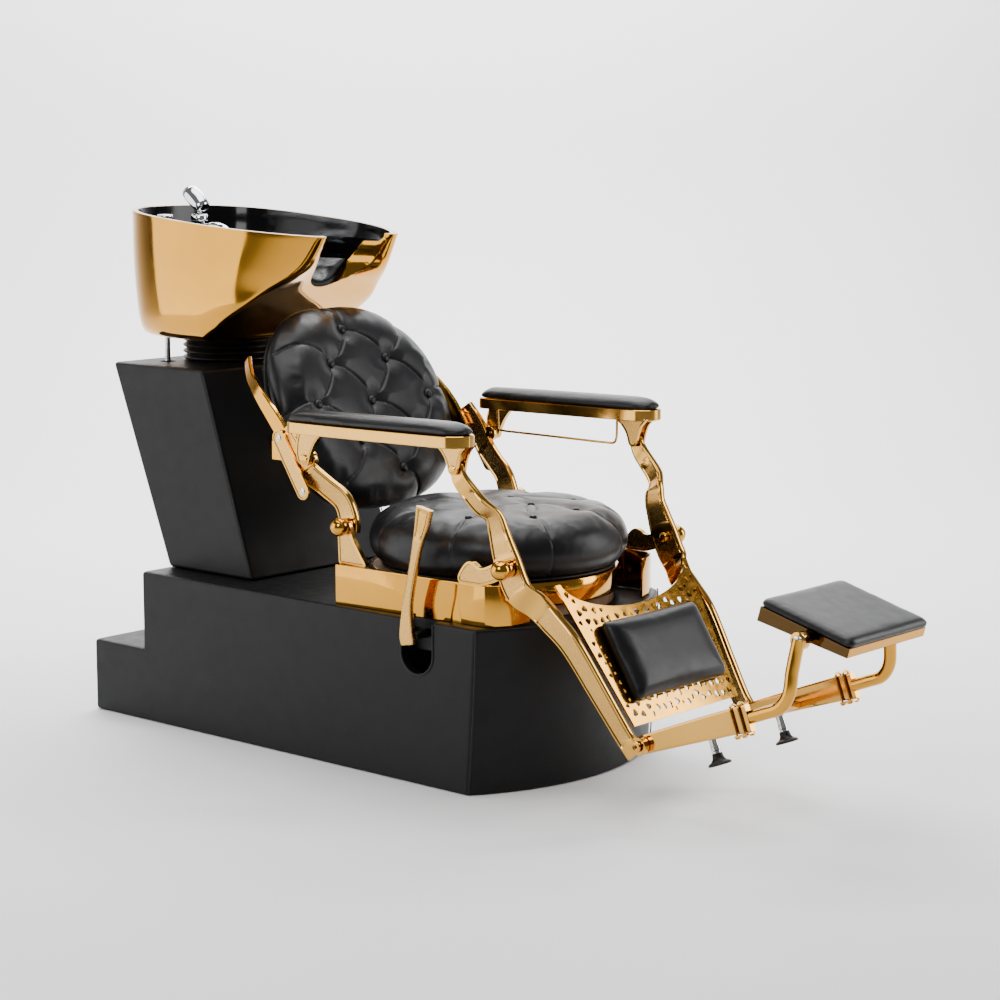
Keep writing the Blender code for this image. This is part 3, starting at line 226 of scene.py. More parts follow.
def loft(name, material, rings, ring_shaped=False, angle=38.0):
    bm = bmesh.new()
    rows = [[bm.verts.new(point) for point in ring] for ring in rings]
    pairs = list(zip(rows, rows[1:]))
    if ring_shaped:
        pairs.append((rows[-1], rows[0]))
    count = len(rows[0])
    for lower, upper in pairs:
        for i in range(count):
            j = (i + 1) % count
            bm.faces.new((lower[i], lower[j], upper[j], upper[i]))
    if not ring_shaped:
        bm.faces.new(rows[0][::-1])
        bm.faces.new(rows[-1])
    return new_piece(name, bm, material, angle)


def side_prism(name, material, outline, x_from, x_to):
    return loft(name, material, [[Vector((x, y, z)) for y, z in outline] for x in (x_from, x_to)])


def turned(name, material, profile, centre, axis="Z", steps=64, hollow=False, angle=38.0):
    turn = {"Z": Matrix.Identity(3), "X": Matrix.Rotation(math.pi / 2, 3, "Y")}.get(axis)
    if turn is None:
        turn = Vector((0, 0, 1)).rotation_difference(Vector(axis)).to_matrix()
    rings = []
    for radius, height in profile:
        angles = [2 * math.pi * i / steps for i in range(steps)]
        rings.append([Vector(centre) + turn @ Vector((radius * math.cos(a), radius * math.sin(a), height))
                      for a in angles])
    return loft(name, material, rings, hollow, angle=angle)


def smooth_line(points, spans):
    """A smooth curve through every point, with spans steps between neighbours."""
    line = []
    for i in range(len(points) - 1):
        before, here = points[max(i - 1, 0)], points[i]
        there, after = points[i + 1], points[min(i + 2, len(points) - 1)]
        for step in range(spans):
            t = step / spans
            line.append(tuple(
                b + 0.5 * ((c - a) * t + (2 * a - 5 * b + 4 * c - d) * t * t
                           + (3 * b - a - 3 * c + d) * t ** 3)
                for a, b, c, d in zip(before, here, there, after)))
    line.append(tuple(points[-1]))
    return line


def sweep(name, material, route, section, twist_start=None, closed=False, angle=38.0):
    """Carry a section of (a, b) offsets, or a function of the station, along a route."""
    points = [Vector(p) for p in route]
    last = len(points) - 1
    across = twist_start
    rings = []
    for i, point in enumerate(points):
        ahead = points[(i + 1) % len(points)] if closed else points[min(i + 1, last)]
        behind = points[i - 1] if closed else points[max(i - 1, 0)]
        tangent = (ahead - behind).normalized()
        if across is None:
            across = tangent.orthogonal()
        across = (across - tangent * across.dot(tangent)).normalized()
        other = tangent.cross(across)
        offsets = section(i) if callable(section) else section
        rings.append([point + across * a + other * b for a, b in offsets])
    return loft(name, material, rings, closed, angle=angle)


def circle(radius, sides=24):
    return [(radius * math.cos(2 * math.pi * k / sides), radius * math.sin(2 * math.pi * k / sides))
            for k in range(sides)]


def tube(name, material, route, radius, sides=24, closed=False):
    return sweep(name, material, route, circle(radius, sides), closed=closed)


def arc(centre, radius, start, end, steps):
    angles = [math.radians(start + (end - start) * i / steps) for i in range(steps + 1)]
    return [(centre[0] + radius * math.cos(a), centre[1] + radius * math.sin(a)) for a in angles]


def settle(piece):
    """Apply the piece's modifiers."""
    bpy.context.view_layer.update()
    graph = bpy.context.evaluated_depsgraph_get()
    mesh = bpy.data.meshes.new_from_object(piece.evaluated_get(graph))
    piece.modifiers.clear()
    piece.data = mesh
    return piece


def cut(piece, *tools, tangled=False):
    for tool in tools:
        change = piece.modifiers.new("cut", "BOOLEAN")
        change.operation = "DIFFERENCE"
        change.solver = "EXACT"
        change.material_mode = "TRANSFER"
        change.use_self = tangled
        change.object = tool
        settle(piece)
        bpy.data.objects.remove(tool)
    return piece


def join(piece, *others):
    """Put the meshes of others into piece, keeping each one's materials."""
    for other in others:
        bm = bmesh.new()
        bm.from_mesh(piece.data)
        start = len(bm.faces)
        slots = []
        for material in other.data.materials:
            if material.name not in [m.name for m in piece.data.materials]:
                piece.data.materials.append(material)
            slots.append([m.name for m in piece.data.materials].index(material.name))
        bm.from_mesh(other.data)
        bm.faces.ensure_lookup_table()
        for face in bm.faces[start:]:
            face.material_index = slots[min(face.material_index, len(slots) - 1)]
        bm.to_mesh(piece.data)
        bm.free()
        bpy.data.objects.remove(other)
    return piece


def round_edges(piece, width, segments=3, angle=32.0):
    change = piece.modifiers.new("round", "BEVEL")
    change.width = width
    change.segments = segments
    change.limit_method = "ANGLE"
    change.angle_limit = math.radians(angle)
    change.harden_normals = False
    settle(piece)
    shade(piece, 40.0)
    return piece


def finer(piece, levels=1):
    change = piece.modifiers.new("finer", "SUBSURF")
    change.levels = levels
    change.render_levels = levels
    return settle(piece)


def stand_for(piece, body, slot_name, *nodes):
    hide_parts(*nodes)
    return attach(piece, body)


def detail(piece, body, slot_name):
    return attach(piece, body)


def refined(node, body, material, slot_name, width=0.0012, segments=3, angle=30.0):
    """A rounded copy of a CAD node's own mesh."""
    mesh = NODES[node].data.copy()
    piece = bpy.data.objects.new("look_" + node, mesh)
    bpy.context.collection.objects.link(piece)
    mesh.materials.clear()
    mesh.materials.append(M[material])
    bm = bmesh.new()
    bm.from_mesh(mesh)
    for face in bm.faces:
        face.material_index = 0
    bmesh.ops.remove_doubles(bm, verts=bm.verts, dist=1e-6)
    bmesh.ops.dissolve_limit(bm, angle_limit=math.radians(1.5), verts=bm.verts, edges=bm.edges)
    bm.to_mesh(mesh)
    bm.free()
    if width:
        round_edges(piece, width, segments, angle)
        change = piece.modifiers.new("flat_faces", "WEIGHTED_NORMAL")
        change.weight = 100
        change.keep_sharp = True
        settle(piece)
    else:
        shade(piece, 38.0)
    return stand_for(piece, body, slot_name, node)


def mirrored(points, side):
    return [(side * p[0], *p[1:]) for p in points]


def cast_bar(name, stations, panels=(), rim=0.0055, recess=0.0012):
    """Cast bar along (X, Y, Z, width, thickness), with satin panels sunk between bright rims.

    panels lists (first, last) stations between which each face is sunk.
    """
    last = len(stations) - 1
    rings = []
    for i, (x, y, z, width, thickness) in enumerate(stations):
        ahead, behind = stations[min(i + 1, last)], stations[max(i - 1, 0)]
        along = Vector((0, ahead[1] - behind[1], ahead[2] - behind[2])).normalized()
        side = Vector((0, -along.z, along.y))
        half, deep = width / 2, thickness / 2
        sunk = 0.0
        for first, final in panels:
            if first <= i <= final:
                sunk = recess
        edge = min(rim, half * 0.36)
        corner = 0.0028
        face = [(-half, deep - corner), (-half + corner * 0.3, deep - corner * 0.3),
                (-half + corner, deep),
                (-half + edge - 0.0012, deep), (-half + edge, deep - sunk * 1.5),
                (-half + edge + 0.0010, deep - sunk * 1.5), (-half + edge + 0.0018, deep - sunk),
                (half - edge - 0.0018, deep - sunk), (half - edge - 0.0010, deep - sunk * 1.5),
                (half - edge, deep - sunk * 1.5), (half - edge + 0.0012, deep),
                (half - corner, deep), (half - corner * 0.3, deep - corner * 0.3), (half, deep - corner)]
        section = face + [(-a, -b) for a, b in face]
        rings.append([Vector((x + b, y, z)) + side * a for a, b in section])
    bar = loft(name, "rim", rings, angle=30.0)
    bar.data.materials.append(M["panel"])
    bar.data.materials.append(M["shaded_groove"])
    count = len(rings[0])
    for index, polygon in enumerate(bar.data.polygons):
        row, column = divmod(index, count)
        if row >= last:
            continue
        inside = any(first <= row < final for first, final in panels)
        # groove floors and slopes take the painted shade colour
        if inside and column % 14 in (4, 5, 8):
            polygon.material_index = 2
        elif inside and column % 14 in (6,):
            polygon.material_index = 1
    return bar


def dense(outline, step=0.004):
    """The closed outline with points no further apart than step."""
    result = []
    for i, (a, b) in enumerate(outline):
        c, d = outline[(i + 1) % len(outline)]
        parts = max(1, round(math.hypot(c - a, d - b) / step))
        result += [(a + (c - a) * k / parts, b + (d - b) * k / parts) for k in range(parts)]
    return result


def rounded(outline, passes=3):
    """Soften an outline's corners."""
    points = np.array(outline)
    for _ in range(passes):
        points = (points + np.roll(points, 1, 0) * 0.5 + np.roll(points, -1, 0) * 0.5) / 2
    return [tuple(p) for p in points]


def inset_plate(name, outline, x_from, x_to, rim=0.0045, recess=0.0012):
    """Plate cut to a (Y, Z) outline whose two faces are sunk inside a raised rim."""
    bm = bmesh.new()
    rows = [[bm.verts.new((x, y, z)) for y, z in outline] for x in (x_from, x_to)]
    count = len(outline)
    for i in range(count):
        j = (i + 1) % count
        bm.faces.new((rows[0][i], rows[0][j], rows[1][j], rows[1][i]))
    ends = [bm.faces.new(rows[0][::-1]), bm.faces.new(rows[1])]
    bmesh.ops.recalc_face_normals(bm, faces=bm.faces)
    for face in ends:
        bmesh.ops.inset_region(bm, faces=[face], thickness=0.0012, depth=0.0)
        bmesh.ops.inset_region(bm, faces=[face], thickness=rim - 0.0012, depth=0.0006)
        made = bmesh.ops.inset_region(bm, faces=[face], thickness=0.0008, depth=-recess)
        # the recess walls take the painted shade colour
        for wall in made["faces"]:
            wall.material_index = 2
        face.material_index = 1
    piece = new_piece(name, bm, "rim", 30.0)
    piece.data.materials.append(M["panel"])
    piece.data.materials.append(M["shaded_groove"])
    return piece


# ------------------------------------------------------------- padded pieces

def inflate(piece, voxel, pressure, most, frames=20):
    """Puff a closed mesh up like a stuffed cover, moving no point further than most."""
    change = piece.modifiers.new("even", "REMESH")
    change.mode = "VOXEL"
    change.voxel_size = voxel
    settle(piece)
    before = np.array([v.co for v in piece.data.vertices])
    cloth = piece.modifiers.new("cloth", "CLOTH")
    cloth.settings.quality = 5
    cloth.settings.mass = 0.3
    cloth.settings.tension_stiffness = 15
    cloth.settings.compression_stiffness = 15
    cloth.settings.bending_stiffness = 0.5
    cloth.settings.use_pressure = True
    cloth.settings.uniform_pressure_force = pressure
    cloth.settings.effector_weights.gravity = 0
    cloth.collision_settings.use_collision = False
    cloth.point_cache.frame_start = 1
    cloth.point_cache.frame_end = frames
    scene = bpy.context.scene
    for number in range(1, frames + 1):
        scene.frame_set(number)
    settle(piece)
    scene.frame_set(1)
    after = np.array([v.co for v in piece.data.vertices])
    move = after - before
    size = np.linalg.norm(move, axis=1, keepdims=True)
    move *= np.minimum(1.0, most / np.maximum(size, 1e-9))
    piece.data.vertices.foreach_set("co", (before + move).ravel())
    relax = piece.modifiers.new("relax", "SMOOTH")
    relax.factor = 0.5
    relax.iterations = 6
    settle(piece)
    finer(piece, 1)
    shade(piece, 180)
    return piece


def coordinates(piece):
    count = len(piece.data.vertices)
    points = np.empty(count * 3)
    normals = np.empty(count * 3)
    piece.data.vertices.foreach_get("co", points)
    piece.data.vertices.foreach_get("normal", normals)
    return points.reshape(-1, 3), normals.reshape(-1, 3)


def push(piece, points):
    piece.data.vertices.foreach_set("co", points.ravel())
    piece.data.update()


def curve_between(a, b, bow, parts=10):
    """A pleat from a to b in the plane, bowed to its left by a share of its length."""
    a, b = np.array(a), np.array(b)
    off = np.array([-(b - a)[1], (b - a)[0]]) * bow
    return [a + (b - a) * t + off * 4 * t * (1 - t) for t in np.linspace(0, 1, parts)]


def distance_to(flat, pleats):
    """Distance from each flat point to the nearest pleat."""
    best = np.full(len(flat), 1e3)
    for line in pleats:
        for a, b in zip(line, line[1:]):
            d = b - a
            t = np.clip(((flat - a) @ d) / (d @ d), 0, 1)
            best = np.minimum(best, np.linalg.norm(flat - a - t[:, None] * d, axis=1))
    return best


def tuft(flat, pleats, buttons, valley=0.0095, dimple=0.015, crease=0.0022):
    """How far each flat point sinks, for pleats that meet at buttons."""
    along = distance_to(flat, pleats)
    sink = valley * np.exp(-along / 0.020) + crease * np.exp(-(along / 0.0018) ** 2)
    for button in buttons:
        reach = np.linalg.norm(flat - np.array(button), axis=1)
        sink = np.maximum(sink, dimple * np.exp(-(reach / 0.026) ** 1.6) + sink * 0.35)
    return sink


def covered_buttons(name, places, radius=0.0088):
    """Leather-covered tufting buttons, each a low dome with a few soft facets."""
    made = []
    for index, (place, normal) in enumerate(places):
        profile = [(radius * 0.80, -0.004), (radius, 0.0), (radius * 0.98, 0.0018),
                   (radius * 0.80, 0.0040), (radius * 0.45, 0.0052), (radius * 0.12, 0.0055)]
        made.append(turned(f"{name}_{index}", "leather", profile, place, tuple(normal), steps=18,
                           angle=50))
    piece = join(made[0], *made[1:])
    piece.name = name
    return piece


def nearest(points, normals, target):
    index = int(np.argmin(((points - np.array(target)) ** 2).sum(axis=1)))
    return Vector(points[index]), Vector(normals[index]).normalized()


# ------------------------------------------------------------ plinth and column

def plinth():
    refined("plinth_shell", "base", "vinyl", "black_leather", 0.0016, 2)
    refined("plinth_base_board", "base", "board", "plywood", 0.001, 1)
    refined("column_shell", "base", "vinyl", "black_leather", 0.0016, 2)
    refined("waste_pipe", "base", "pipe", "grey_pipe", 0.0)
    refined("hot_water_hose", "base", "steel", "steel_inside", 0.0)
    refined("cold_water_hose", "base", "steel", "steel_inside", 0.0)
    refined("basin_tilt_bracket", "base", "steel", "steel_inside", 0.0006, 2)
    refined("recline_lock", "base", "dark", "steel_inside", 0.0015, 2)
    for name, side in SIDES:
        seam = mirrored([(0.2722, -0.4742, 0.006), (0.2722, -0.4842, 0.15), (0.2722, -0.4895, 0.250),
                         (0.2715, -0.4905, 0.306), (0.2680, -0.4905, 0.3120)], side)
        piping = tube("plinth_corner_piping_" + name, "seam", smooth_line(seam, 8), 0.0013, 12)
        detail(piping, "base", "black_leather")
        edge = [(side * 0.2045, 0.1720, 0.3300), (side * 0.2045, 0.2350, 0.5200),
                (side * 0.2045, 0.3010, 0.7200)]
        detail(tube("column_piping_" + name, "seam", smooth_line(edge, 8), 0.0013, 12), "base",
               "black_leather")
        top = [(side * 0.2665, y, 0.3128) for y in (-0.4800, -0.2, 0.1, 0.4160)]
        if side > 0:
            detail(tube("plinth_top_piping_" + name, "seam", smooth_line(top, 8), 0.0012, 12), "base",
                   "black_leather")
    lip = [(-0.2723, -0.3860, 0.3080), (-0.2723, -0.3860, 0.2500)]
    lip += [(-0.2723, y, z) for y, z in arc((-0.346, 0.250), 0.040, 180, 360, 20)]
    lip += [(-0.2723, -0.3060, 0.2520), (-0.2723, -0.3060, 0.3080)]
    detail(tube("slot_rolled_edge", "seam", lip, 0.0022, 14), "base", "black_leather")


def bellows():
    bottom, top = 0.7305, BASIN_BOTTOM - 0.0004
    ribs, height = 4, BASIN_BOTTOM - 0.0008 - 0.7305
    outside = []
    for i in range(ribs * 12 + 1):
        t = i / (ribs * 12)
        wave = 0.5 - 0.5 * math.cos(2 * math.pi * ribs * t)
        outside.append((0.0920 + 0.0078 * wave ** 0.7, bottom + height * t))
    inside = [(radius - 0.003, z) for radius, z in reversed(outside)]
    sleeve = turned("ribbed_bellows", "rubber", outside + inside, (0, BELLOWS_Y, 0), hollow=True,
                    steps=72)
    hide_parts("basin_bellows")
    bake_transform(sleeve)


# ---------------------------------------------------------------------- basin

BASIN_SECTIONS = (
    (0.7820, 0.150, 0.575, 0.095, 0.325, 0.320, 0.0), (0.7860, 0.175, 0.598, 0.140, 0.315, 0.312, 0.0),
    (0.7970, 0.190, 0.608, 0.170, 0.300, 0.302, 0.0), (0.8250, 0.199, 0.613, 0.189, 0.262, 0.268, 0.0),
    (0.8650, 0.204, 0.616, 0.181, 0.200, 0.216, 0.1), (0.9050, 0.207, 0.618, 0.156, 0.154, 0.172, 0.3),
    (0.9450, 0.209, 0.619, 0.129, 0.110, 0.136, 0.6), (0.9850, 0.210, 0.619, 0.114, 0.082, 0.112, 0.9),
    (1.0460, 0.210, 0.619, 0.104, 0.047, 0.090, 1.0))
WIDEST = 0.326
NOTCH_RADIUS = 0.074
NOTCH_Z = 0.967


def bowl_outline(half_width, rear, corner_x, corner_y, front, height, slope, inset=0.0):
    """One level of the bowl: squarish rear, tapering flanks, two corners and the front between."""
    width = half_width - inset
    half = []
    for i in range(28):
        angle = math.pi / 2 * i / 28
        half.append((width * math.sin(angle) ** 0.7146,
                     WIDEST + (rear - inset - WIDEST) * math.cos(angle) ** 0.7146))
    ends = (corner_x - inset * 0.4, corner_y + inset * 1.2)
    control = (width, WIDEST + 0.6227 * (ends[1] - WIDEST))
    for i in range(24):
        t = i / 24
        bend = (1 - t) ** 2, 2 * t * (1 - t), t * t
        half.append((bend[0] * width + bend[1] * control[0] + bend[2] * ends[0],
                     bend[0] * WIDEST + bend[1] * control[1] + bend[2] * ends[1]))
    for i in range(12):
        t = i / 12
        half.append((ends[0] * (1 - t), ends[1] + (front + inset - ends[1]) * (1 - (1 - t) ** 2)))
    half.append((0.0, front + inset))
    plan = half + [(-x, y) for x, y in half[-2:0:-1]]
    for _ in range(3):
        plan = [((a[0] + 2 * b[0] + c[0]) / 4, (a[1] + 2 * b[1] + c[1]) / 4)
                for a, b, c in zip(plan[-1:] + plan[:-1], plan, plan[1:] + plan[:1])]
    return [Vector((x, y, height - slope * 0.088 * (0.58 - y))) for x, y in plan]


def basin():
    rings = [bowl_outline(w, rear, cx, cy, front, z, slope)
             for z, w, rear, cx, cy, front, slope in smooth_line(BASIN_SECTIONS, 4)]
    bowl = loft("basin_mirror_bowl", "basin_gold", rings, angle=34)
    bowl.data.materials.append(M["bowl_black"])
    deck_room = loft("deck_room", "bowl_black", [
        bowl_outline(0.210, 0.619, 0.110, 0.054, 0.100, DECK, 0.0, 0.016),
        bowl_outline(0.210, 0.619, 0.104, 0.051, 0.097, 1.02, 0.6, 0.012),
        bowl_outline(0.210, 0.619, 0.100, 0.050, 0.095, 1.076, 1.0, 0.009)])
    levels = ((0.808, 0.100, 0.486, 0.055, 0.335, 0.330), (0.814, 0.122, 0.492, 0.070, 0.312, 0.308),
              (0.835, 0.146, 0.494, 0.100, 0.275, 0.276), (0.870, 0.168, 0.495, 0.125, 0.225, 0.238),
              (0.915, 0.184, 0.496, 0.125, 0.160, 0.200), (1.000, 0.190, 0.497, 0.100, 0.090, 0.140))
    sink = loft("sink", "bowl_black", [bowl_outline(w, rear, cx, cy, front, z, 0.0)
                                       for z, w, rear, cx, cy, front in smooth_line(levels, 5)])
    rings = []
    for y, radius in smooth_line([(0.010, 0.104), (0.085, 0.085), (0.165, NOTCH_RADIUS),
                                  (0.330, NOTCH_RADIUS)], 6):
        outline = arc((0.0, NOTCH_Z), radius, 180, 360, 48)
        outline += [(radius + 0.006, 1.08), (-radius - 0.006, 1.08)]
        rings.append([Vector((x, y, z)) for x, z in outline])
    notch = loft("notch", "basin_gold", rings)
    drain = turned("drain", "bowl_black", [(0.0206, 0.7), (0.0206, 0.9)], (0, BELLOWS_Y, 0), steps=40)
    hose_hole = turned("hose_hole", "basin_gold", [(0.0068, 0.7), (0.0068, 1.1)], (-0.12, 0.503, 0),
                       steps=24)
    slots = [side_prism("overflow", "bowl_black", arc((y, 0.951), 0.004, 0, 360, 20)[:-1], 0.150, 0.1985)
             for y in (0.300, 0.313, 0.326)]
    cut(bowl, deck_room, sink, notch, drain, hose_hole, *slots)
    change = bowl.modifiers.new("clean", "WELD")
    change.merge_threshold = 0.00005
    settle(bowl)
    round_edges(bowl, 0.0028, 4, 55.0)
    shade(bowl, 55.0)
    stand_for(bowl, "basin", "gold_basin", "basin_bowl")
    refined("drain_strainer", "basin", "chrome", "chrome_fittings", 0.0)
    refined("drain_tailpiece", "basin", "chrome", "chrome_fittings", 0.0)
    refined("basin_hinge_bracket", "basin", "steel", "steel_inside", 0.0006, 2)


def neck_rest():
    outer = NOTCH_RADIUS - 0.0008
    rings = []
    for y, inner in ((0.166, 0.0690), (0.1665, 0.064), (0.169, 0.0600), (0.176, 0.0570), (0.190, 0.0555),
                     (0.212, 0.0560), (0.234, 0.0585), (0.243, 0.063), (0.246, 0.069)):
        low = arc((0.0, NOTCH_Z), outer, 196, 344, 40)
        high = []
        for i in range(41):
            angle = math.radians(344 - 148 * i / 40)
            ends = 1 - abs(i - 20) / 20
            radius = outer - (outer - inner) * min(1.0, (ends * 3.2 + 0.12)) ** 0.7
            high.append((radius * math.cos(angle), NOTCH_Z + radius * math.sin(angle)))
        rings.append([Vector((x, y, z)) for x, z in low + high])
    saddle = loft("neck_rest_gel", "gloss", rings, angle=60)
    round_edges(saddle, 0.0016, 3, 50)
    shade(saddle, 60)
    stand_for(saddle, "basin", "gloss_black_gel", "neck_rest")


def fittings():
    body = turned("mixer_pillar", "chrome", [
        (0.0240, DECK + 0.0003), (0.0250, DECK + 0.0012), (0.0250, DECK + 0.0040),
        (0.0235, DECK + 0.0055),
        (0.0180, DECK + 0.0080), (0.0168, DECK + 0.0120), (0.0166, 1.0160), (0.0172, 1.0185),
        (0.0166, 1.0197)],
        (0, 0.530, 0), steps=72)
    spout = smooth_line([(0, 0.530, DECK + 0.014), (0, 0.490, DECK + 0.022), (0, 0.462, DECK + 0.020),
                         (0, 0.445, DECK + 0.012)], 10)
    nozzle = sweep("spout", "chrome", spout,
                   lambda i: circle(0.0088 if i < len(spout) - 3 else 0.0080, 32))
    join(body, nozzle)
    stand_for(body, "basin", "chrome_fittings", "mixer_body")
    cap = turned("mixer_swivel_head", "chrome", [
        (0.0172, 1.0200), (0.0182, 1.0210), (0.0182, 1.0290), (0.0176, 1.0302), (0.0150, 1.0328)],
        (0, 0.530, 0), steps=72)
    stand_for(cap, "mixer_head", "chrome_fittings", "mixer_cap")
    lean = math.radians(38)
    low = Vector((0, 0.530, 1.034))
    rings = []
    for along, half, height in smooth_line([(-0.0300, 0.0150, 0.0110), (-0.0270, 0.0190, 0.0170),
                                            (-0.0180, 0.0215, 0.0220), (0.0, 0.0220, 0.0260),
                                            (0.020, 0.0200, 0.0245), (0.031, 0.0150, 0.0190),
                                            (0.0350, 0.0120, 0.0150), (0.0362, 0.0080, 0.0110)], 5):
        ring = []
        underside = [(-0.98, -0.10), (-0.90, -0.15), (0.90, -0.15), (0.98, -0.10)]
        for across, up in arc((0.0, 0.0), 1.0, 0, 180, 32) + underside:
            local = Vector((across * half, along + 0.010, up * height + 0.006))
            local.rotate(Matrix.Rotation(lean, 3, "X"))
            ring.append(low + local + Vector((0, 0.006, 0.014)))
        rings.append(ring)
    lever = loft("mixer_domed_lever", "chrome", rings, angle=50)
    ball = [(0.006 * math.cos(a), 1.0395 + 0.006 * math.sin(a))
            for a in [math.radians(10 * k - 80) for k in range(9)]]
    stem = turned("stem", "chrome", ball + [(0.006, 1.0705)], (0, 0.530, 0), steps=32)
    join(lever, stem)
    stand_for(lever, "mixer_handle", "chrome_fittings", "mixer_lever")
    hand = turned("hand_spray_body", "chrome", smooth_line([
        (0.0128, DECK + 0.0003), (0.0160, DECK + 0.0040), (0.0160, DECK + 0.0150),
        (0.0112, DECK + 0.0200),
        (0.0108, DECK + 0.0330), (0.0168, DECK + 0.0440), (0.0150, DECK + 0.0498),
        (0.0080, DECK + 0.0500)], 4),
        (-0.12, 0.503, 0), steps=56)
    stand_for(hand, "basin", "chrome_fittings", "hand_spray")
    count = 260
    profile = []
    for i in range(count + 1):
        z = 0.66 + (DECK - 0.002 - 0.66) * i / count
        profile.append((0.0060 if i % 4 in (1, 2) else 0.0056, z))
    hose = turned("spray_hose_coil", "chrome", profile, (-0.12, 0.503, 0), steps=24, angle=80)
    stand_for(hose, "basin", "chrome_fittings", "spray_hose")


# ----------------------------------------------------------------------- seat

def skirts():
    for name, side in SIDES:
        outer = [(0.168, -0.532), (0.205, -0.519), (0.232, -0.503), (0.243, -0.488), (0.259, -0.1225),
                 (0.190, -0.1225)]
        wall = 0.005
        inner = [(0.190, -0.1225 - wall), (0.259 - wall, -0.1225 - wall), (0.243 - wall, -0.486),
                 (0.230 - wall, -0.499), (0.203, -0.519 + wall), (0.168, -0.532 + wall)]
        outline = [(side * x, y) for x, y in outer + inner]
        levels = (0.3133, 0.3900)
        skirt = loft("skirt_" + name, "gold", [[Vector((x, y, z)) for x, y in outline] for z in levels])
        notch = side_prism("notch", "gold", [(-0.4330, 0.3000), (-0.4065, 0.3000), (-0.4085, 0.3300),
                                             (-0.4155, 0.3600), (-0.4180, 0.3850), (-0.4225, 0.3850),
                                             (-0.4240, 0.3600), (-0.4300, 0.3300)],
                           *sorted((side * 0.2370, side * 0.2600)))
        cut(skirt, notch)
        round_edges(skirt, 0.0014, 3, 30)
        trough = loft("skirt_flare_" + name, "gold", [
            [Vector((side * (0.2435 - depth), y, z))
             for y, z in ((-0.4330 + edge, 0.3136), (-0.4065 - edge, 0.3136))]
            + [Vector((side * (0.2418 - depth), y, z))
               for y, z in ((-0.4180 - edge, 0.3850), (-0.4225 + edge, 0.3850))]
            for depth, edge in ((0.0, 0.0), (0.0040, 0.0))])
        detail(trough, "base", "gold_castings")
        stand_for(skirt, "base", "gold_castings", "seat_skirt_" + name)


def seat():
    skirts()
    radius, low, high = 0.243, 0.335, 0.381
    profile = [(radius - 0.0085, low), (radius - 0.0030, low), (radius - 0.0010, low + 0.0008),
               (radius, low + 0.0030), (radius, high - 0.0035), (radius - 0.0010, high - 0.0010),
               (radius - 0.0030, high), (radius - 0.0085, high)]
    ring = turned("seat_gold_band", "gold", profile, (0, -0.297, 0), steps=160, hollow=True)
    stand_for(ring, "base", "gold_castings", "seat_ring")
    refined("seat_base", "base", "board", "plywood", 0.001, 1)


SEAT_CENTRE = (0.0, -0.310)


def seat_cushion():
    radius, low = 0.2555, 0.3830
    profile = smooth_line([(0.12, low), (radius - 0.045, low), (radius - 0.016, low + 0.011),
                           (radius, low + 0.040), (radius - 0.005, low + 0.072),
                           (radius - 0.028, low + 0.096),
                           (radius - 0.070, low + 0.108), (0.060, 0.5000)], 4)
    cushion = turned("seat_tufted_cushion", "leather", profile, (*SEAT_CENTRE, 0), steps=96)
    inflate(cushion, 0.0055, 4.0, 0.006)
    points, normals = coordinates(cushion)
    flat = points[:, :2] - np.array(SEAT_CENTRE)
    reach = np.linalg.norm(flat, axis=1)
    inner = [(0.066 * math.cos(a), 0.066 * math.sin(a))
             for a in [math.radians(20 + 90 * k) for k in range(4)]]
    outer = [(0.158 * math.cos(a), 0.158 * math.sin(a))
             for a in [math.radians(20 + 45 * k) for k in range(8)]]
    pleats = [curve_between(inner[k], inner[(k + 1) % 4], -0.10) for k in range(4)]
    for k in range(8):
        pleats.append(curve_between(inner[(k // 2 + (k % 2)) % 4], outer[k], 0.08))
        rim = (outer[k][0] * 1.50, outer[k][1] * 1.50)
        pleats.append(curve_between(outer[k], rim, 0.03))
        if k % 2 == 0:
            pleats.append(curve_between(inner[k // 2], outer[k - 1], -0.08))
    top = np.clip((normals[:, 2] - 0.15) / 0.5, 0, 1)
    fade = np.clip((0.245 - reach) / 0.04, 0, 1)
    sink = tuft(flat, pleats, inner + outer, 0.0052, 0.0080, 0.0022) * top * fade
    angle = np.degrees(np.arctan2(flat[:, 1], flat[:, 0]))
    gap = np.abs((angle - 20 + 22.5) % 45 - 22.5) * math.pi / 180 * reach
    side = np.clip((reach - 0.205) / 0.02, 0, 1)
    sink += side * (0.0013 * np.exp(-(gap / 0.0018) ** 2) + 0.0008 * np.exp(-gap / 0.010))
    points -= normals * sink[:, None]
    push(cushion, points)
    stand_for(cushion, "base", "black_leather", "seat_cushion")
    points, normals = coordinates(cushion)
    upper = points[:, 2] > 0.45
    places = [nearest(points[upper], normals[upper], (b[0], b[1] + SEAT_CENTRE[1], 0.488))
              for b in inner + outer]
    places = [(p + n * 0.0018, n) for p, n in places]
    detail(covered_buttons("seat_buttons", places, 0.0070), "base", "black_leather")
    welt = [(SEAT_CENTRE[0] + 0.2245 * math.cos(a), SEAT_CENTRE[1] + 0.2245 * math.sin(a), 0.3855)
            for a in [2 * math.pi * k / 120 for k in range(120)]]
    detail(tube("seat_lower_welt", "seam", welt, 0.0022, 12, closed=True), "base", "black_leather")


# -------------------------------------------------------------- fixed brackets

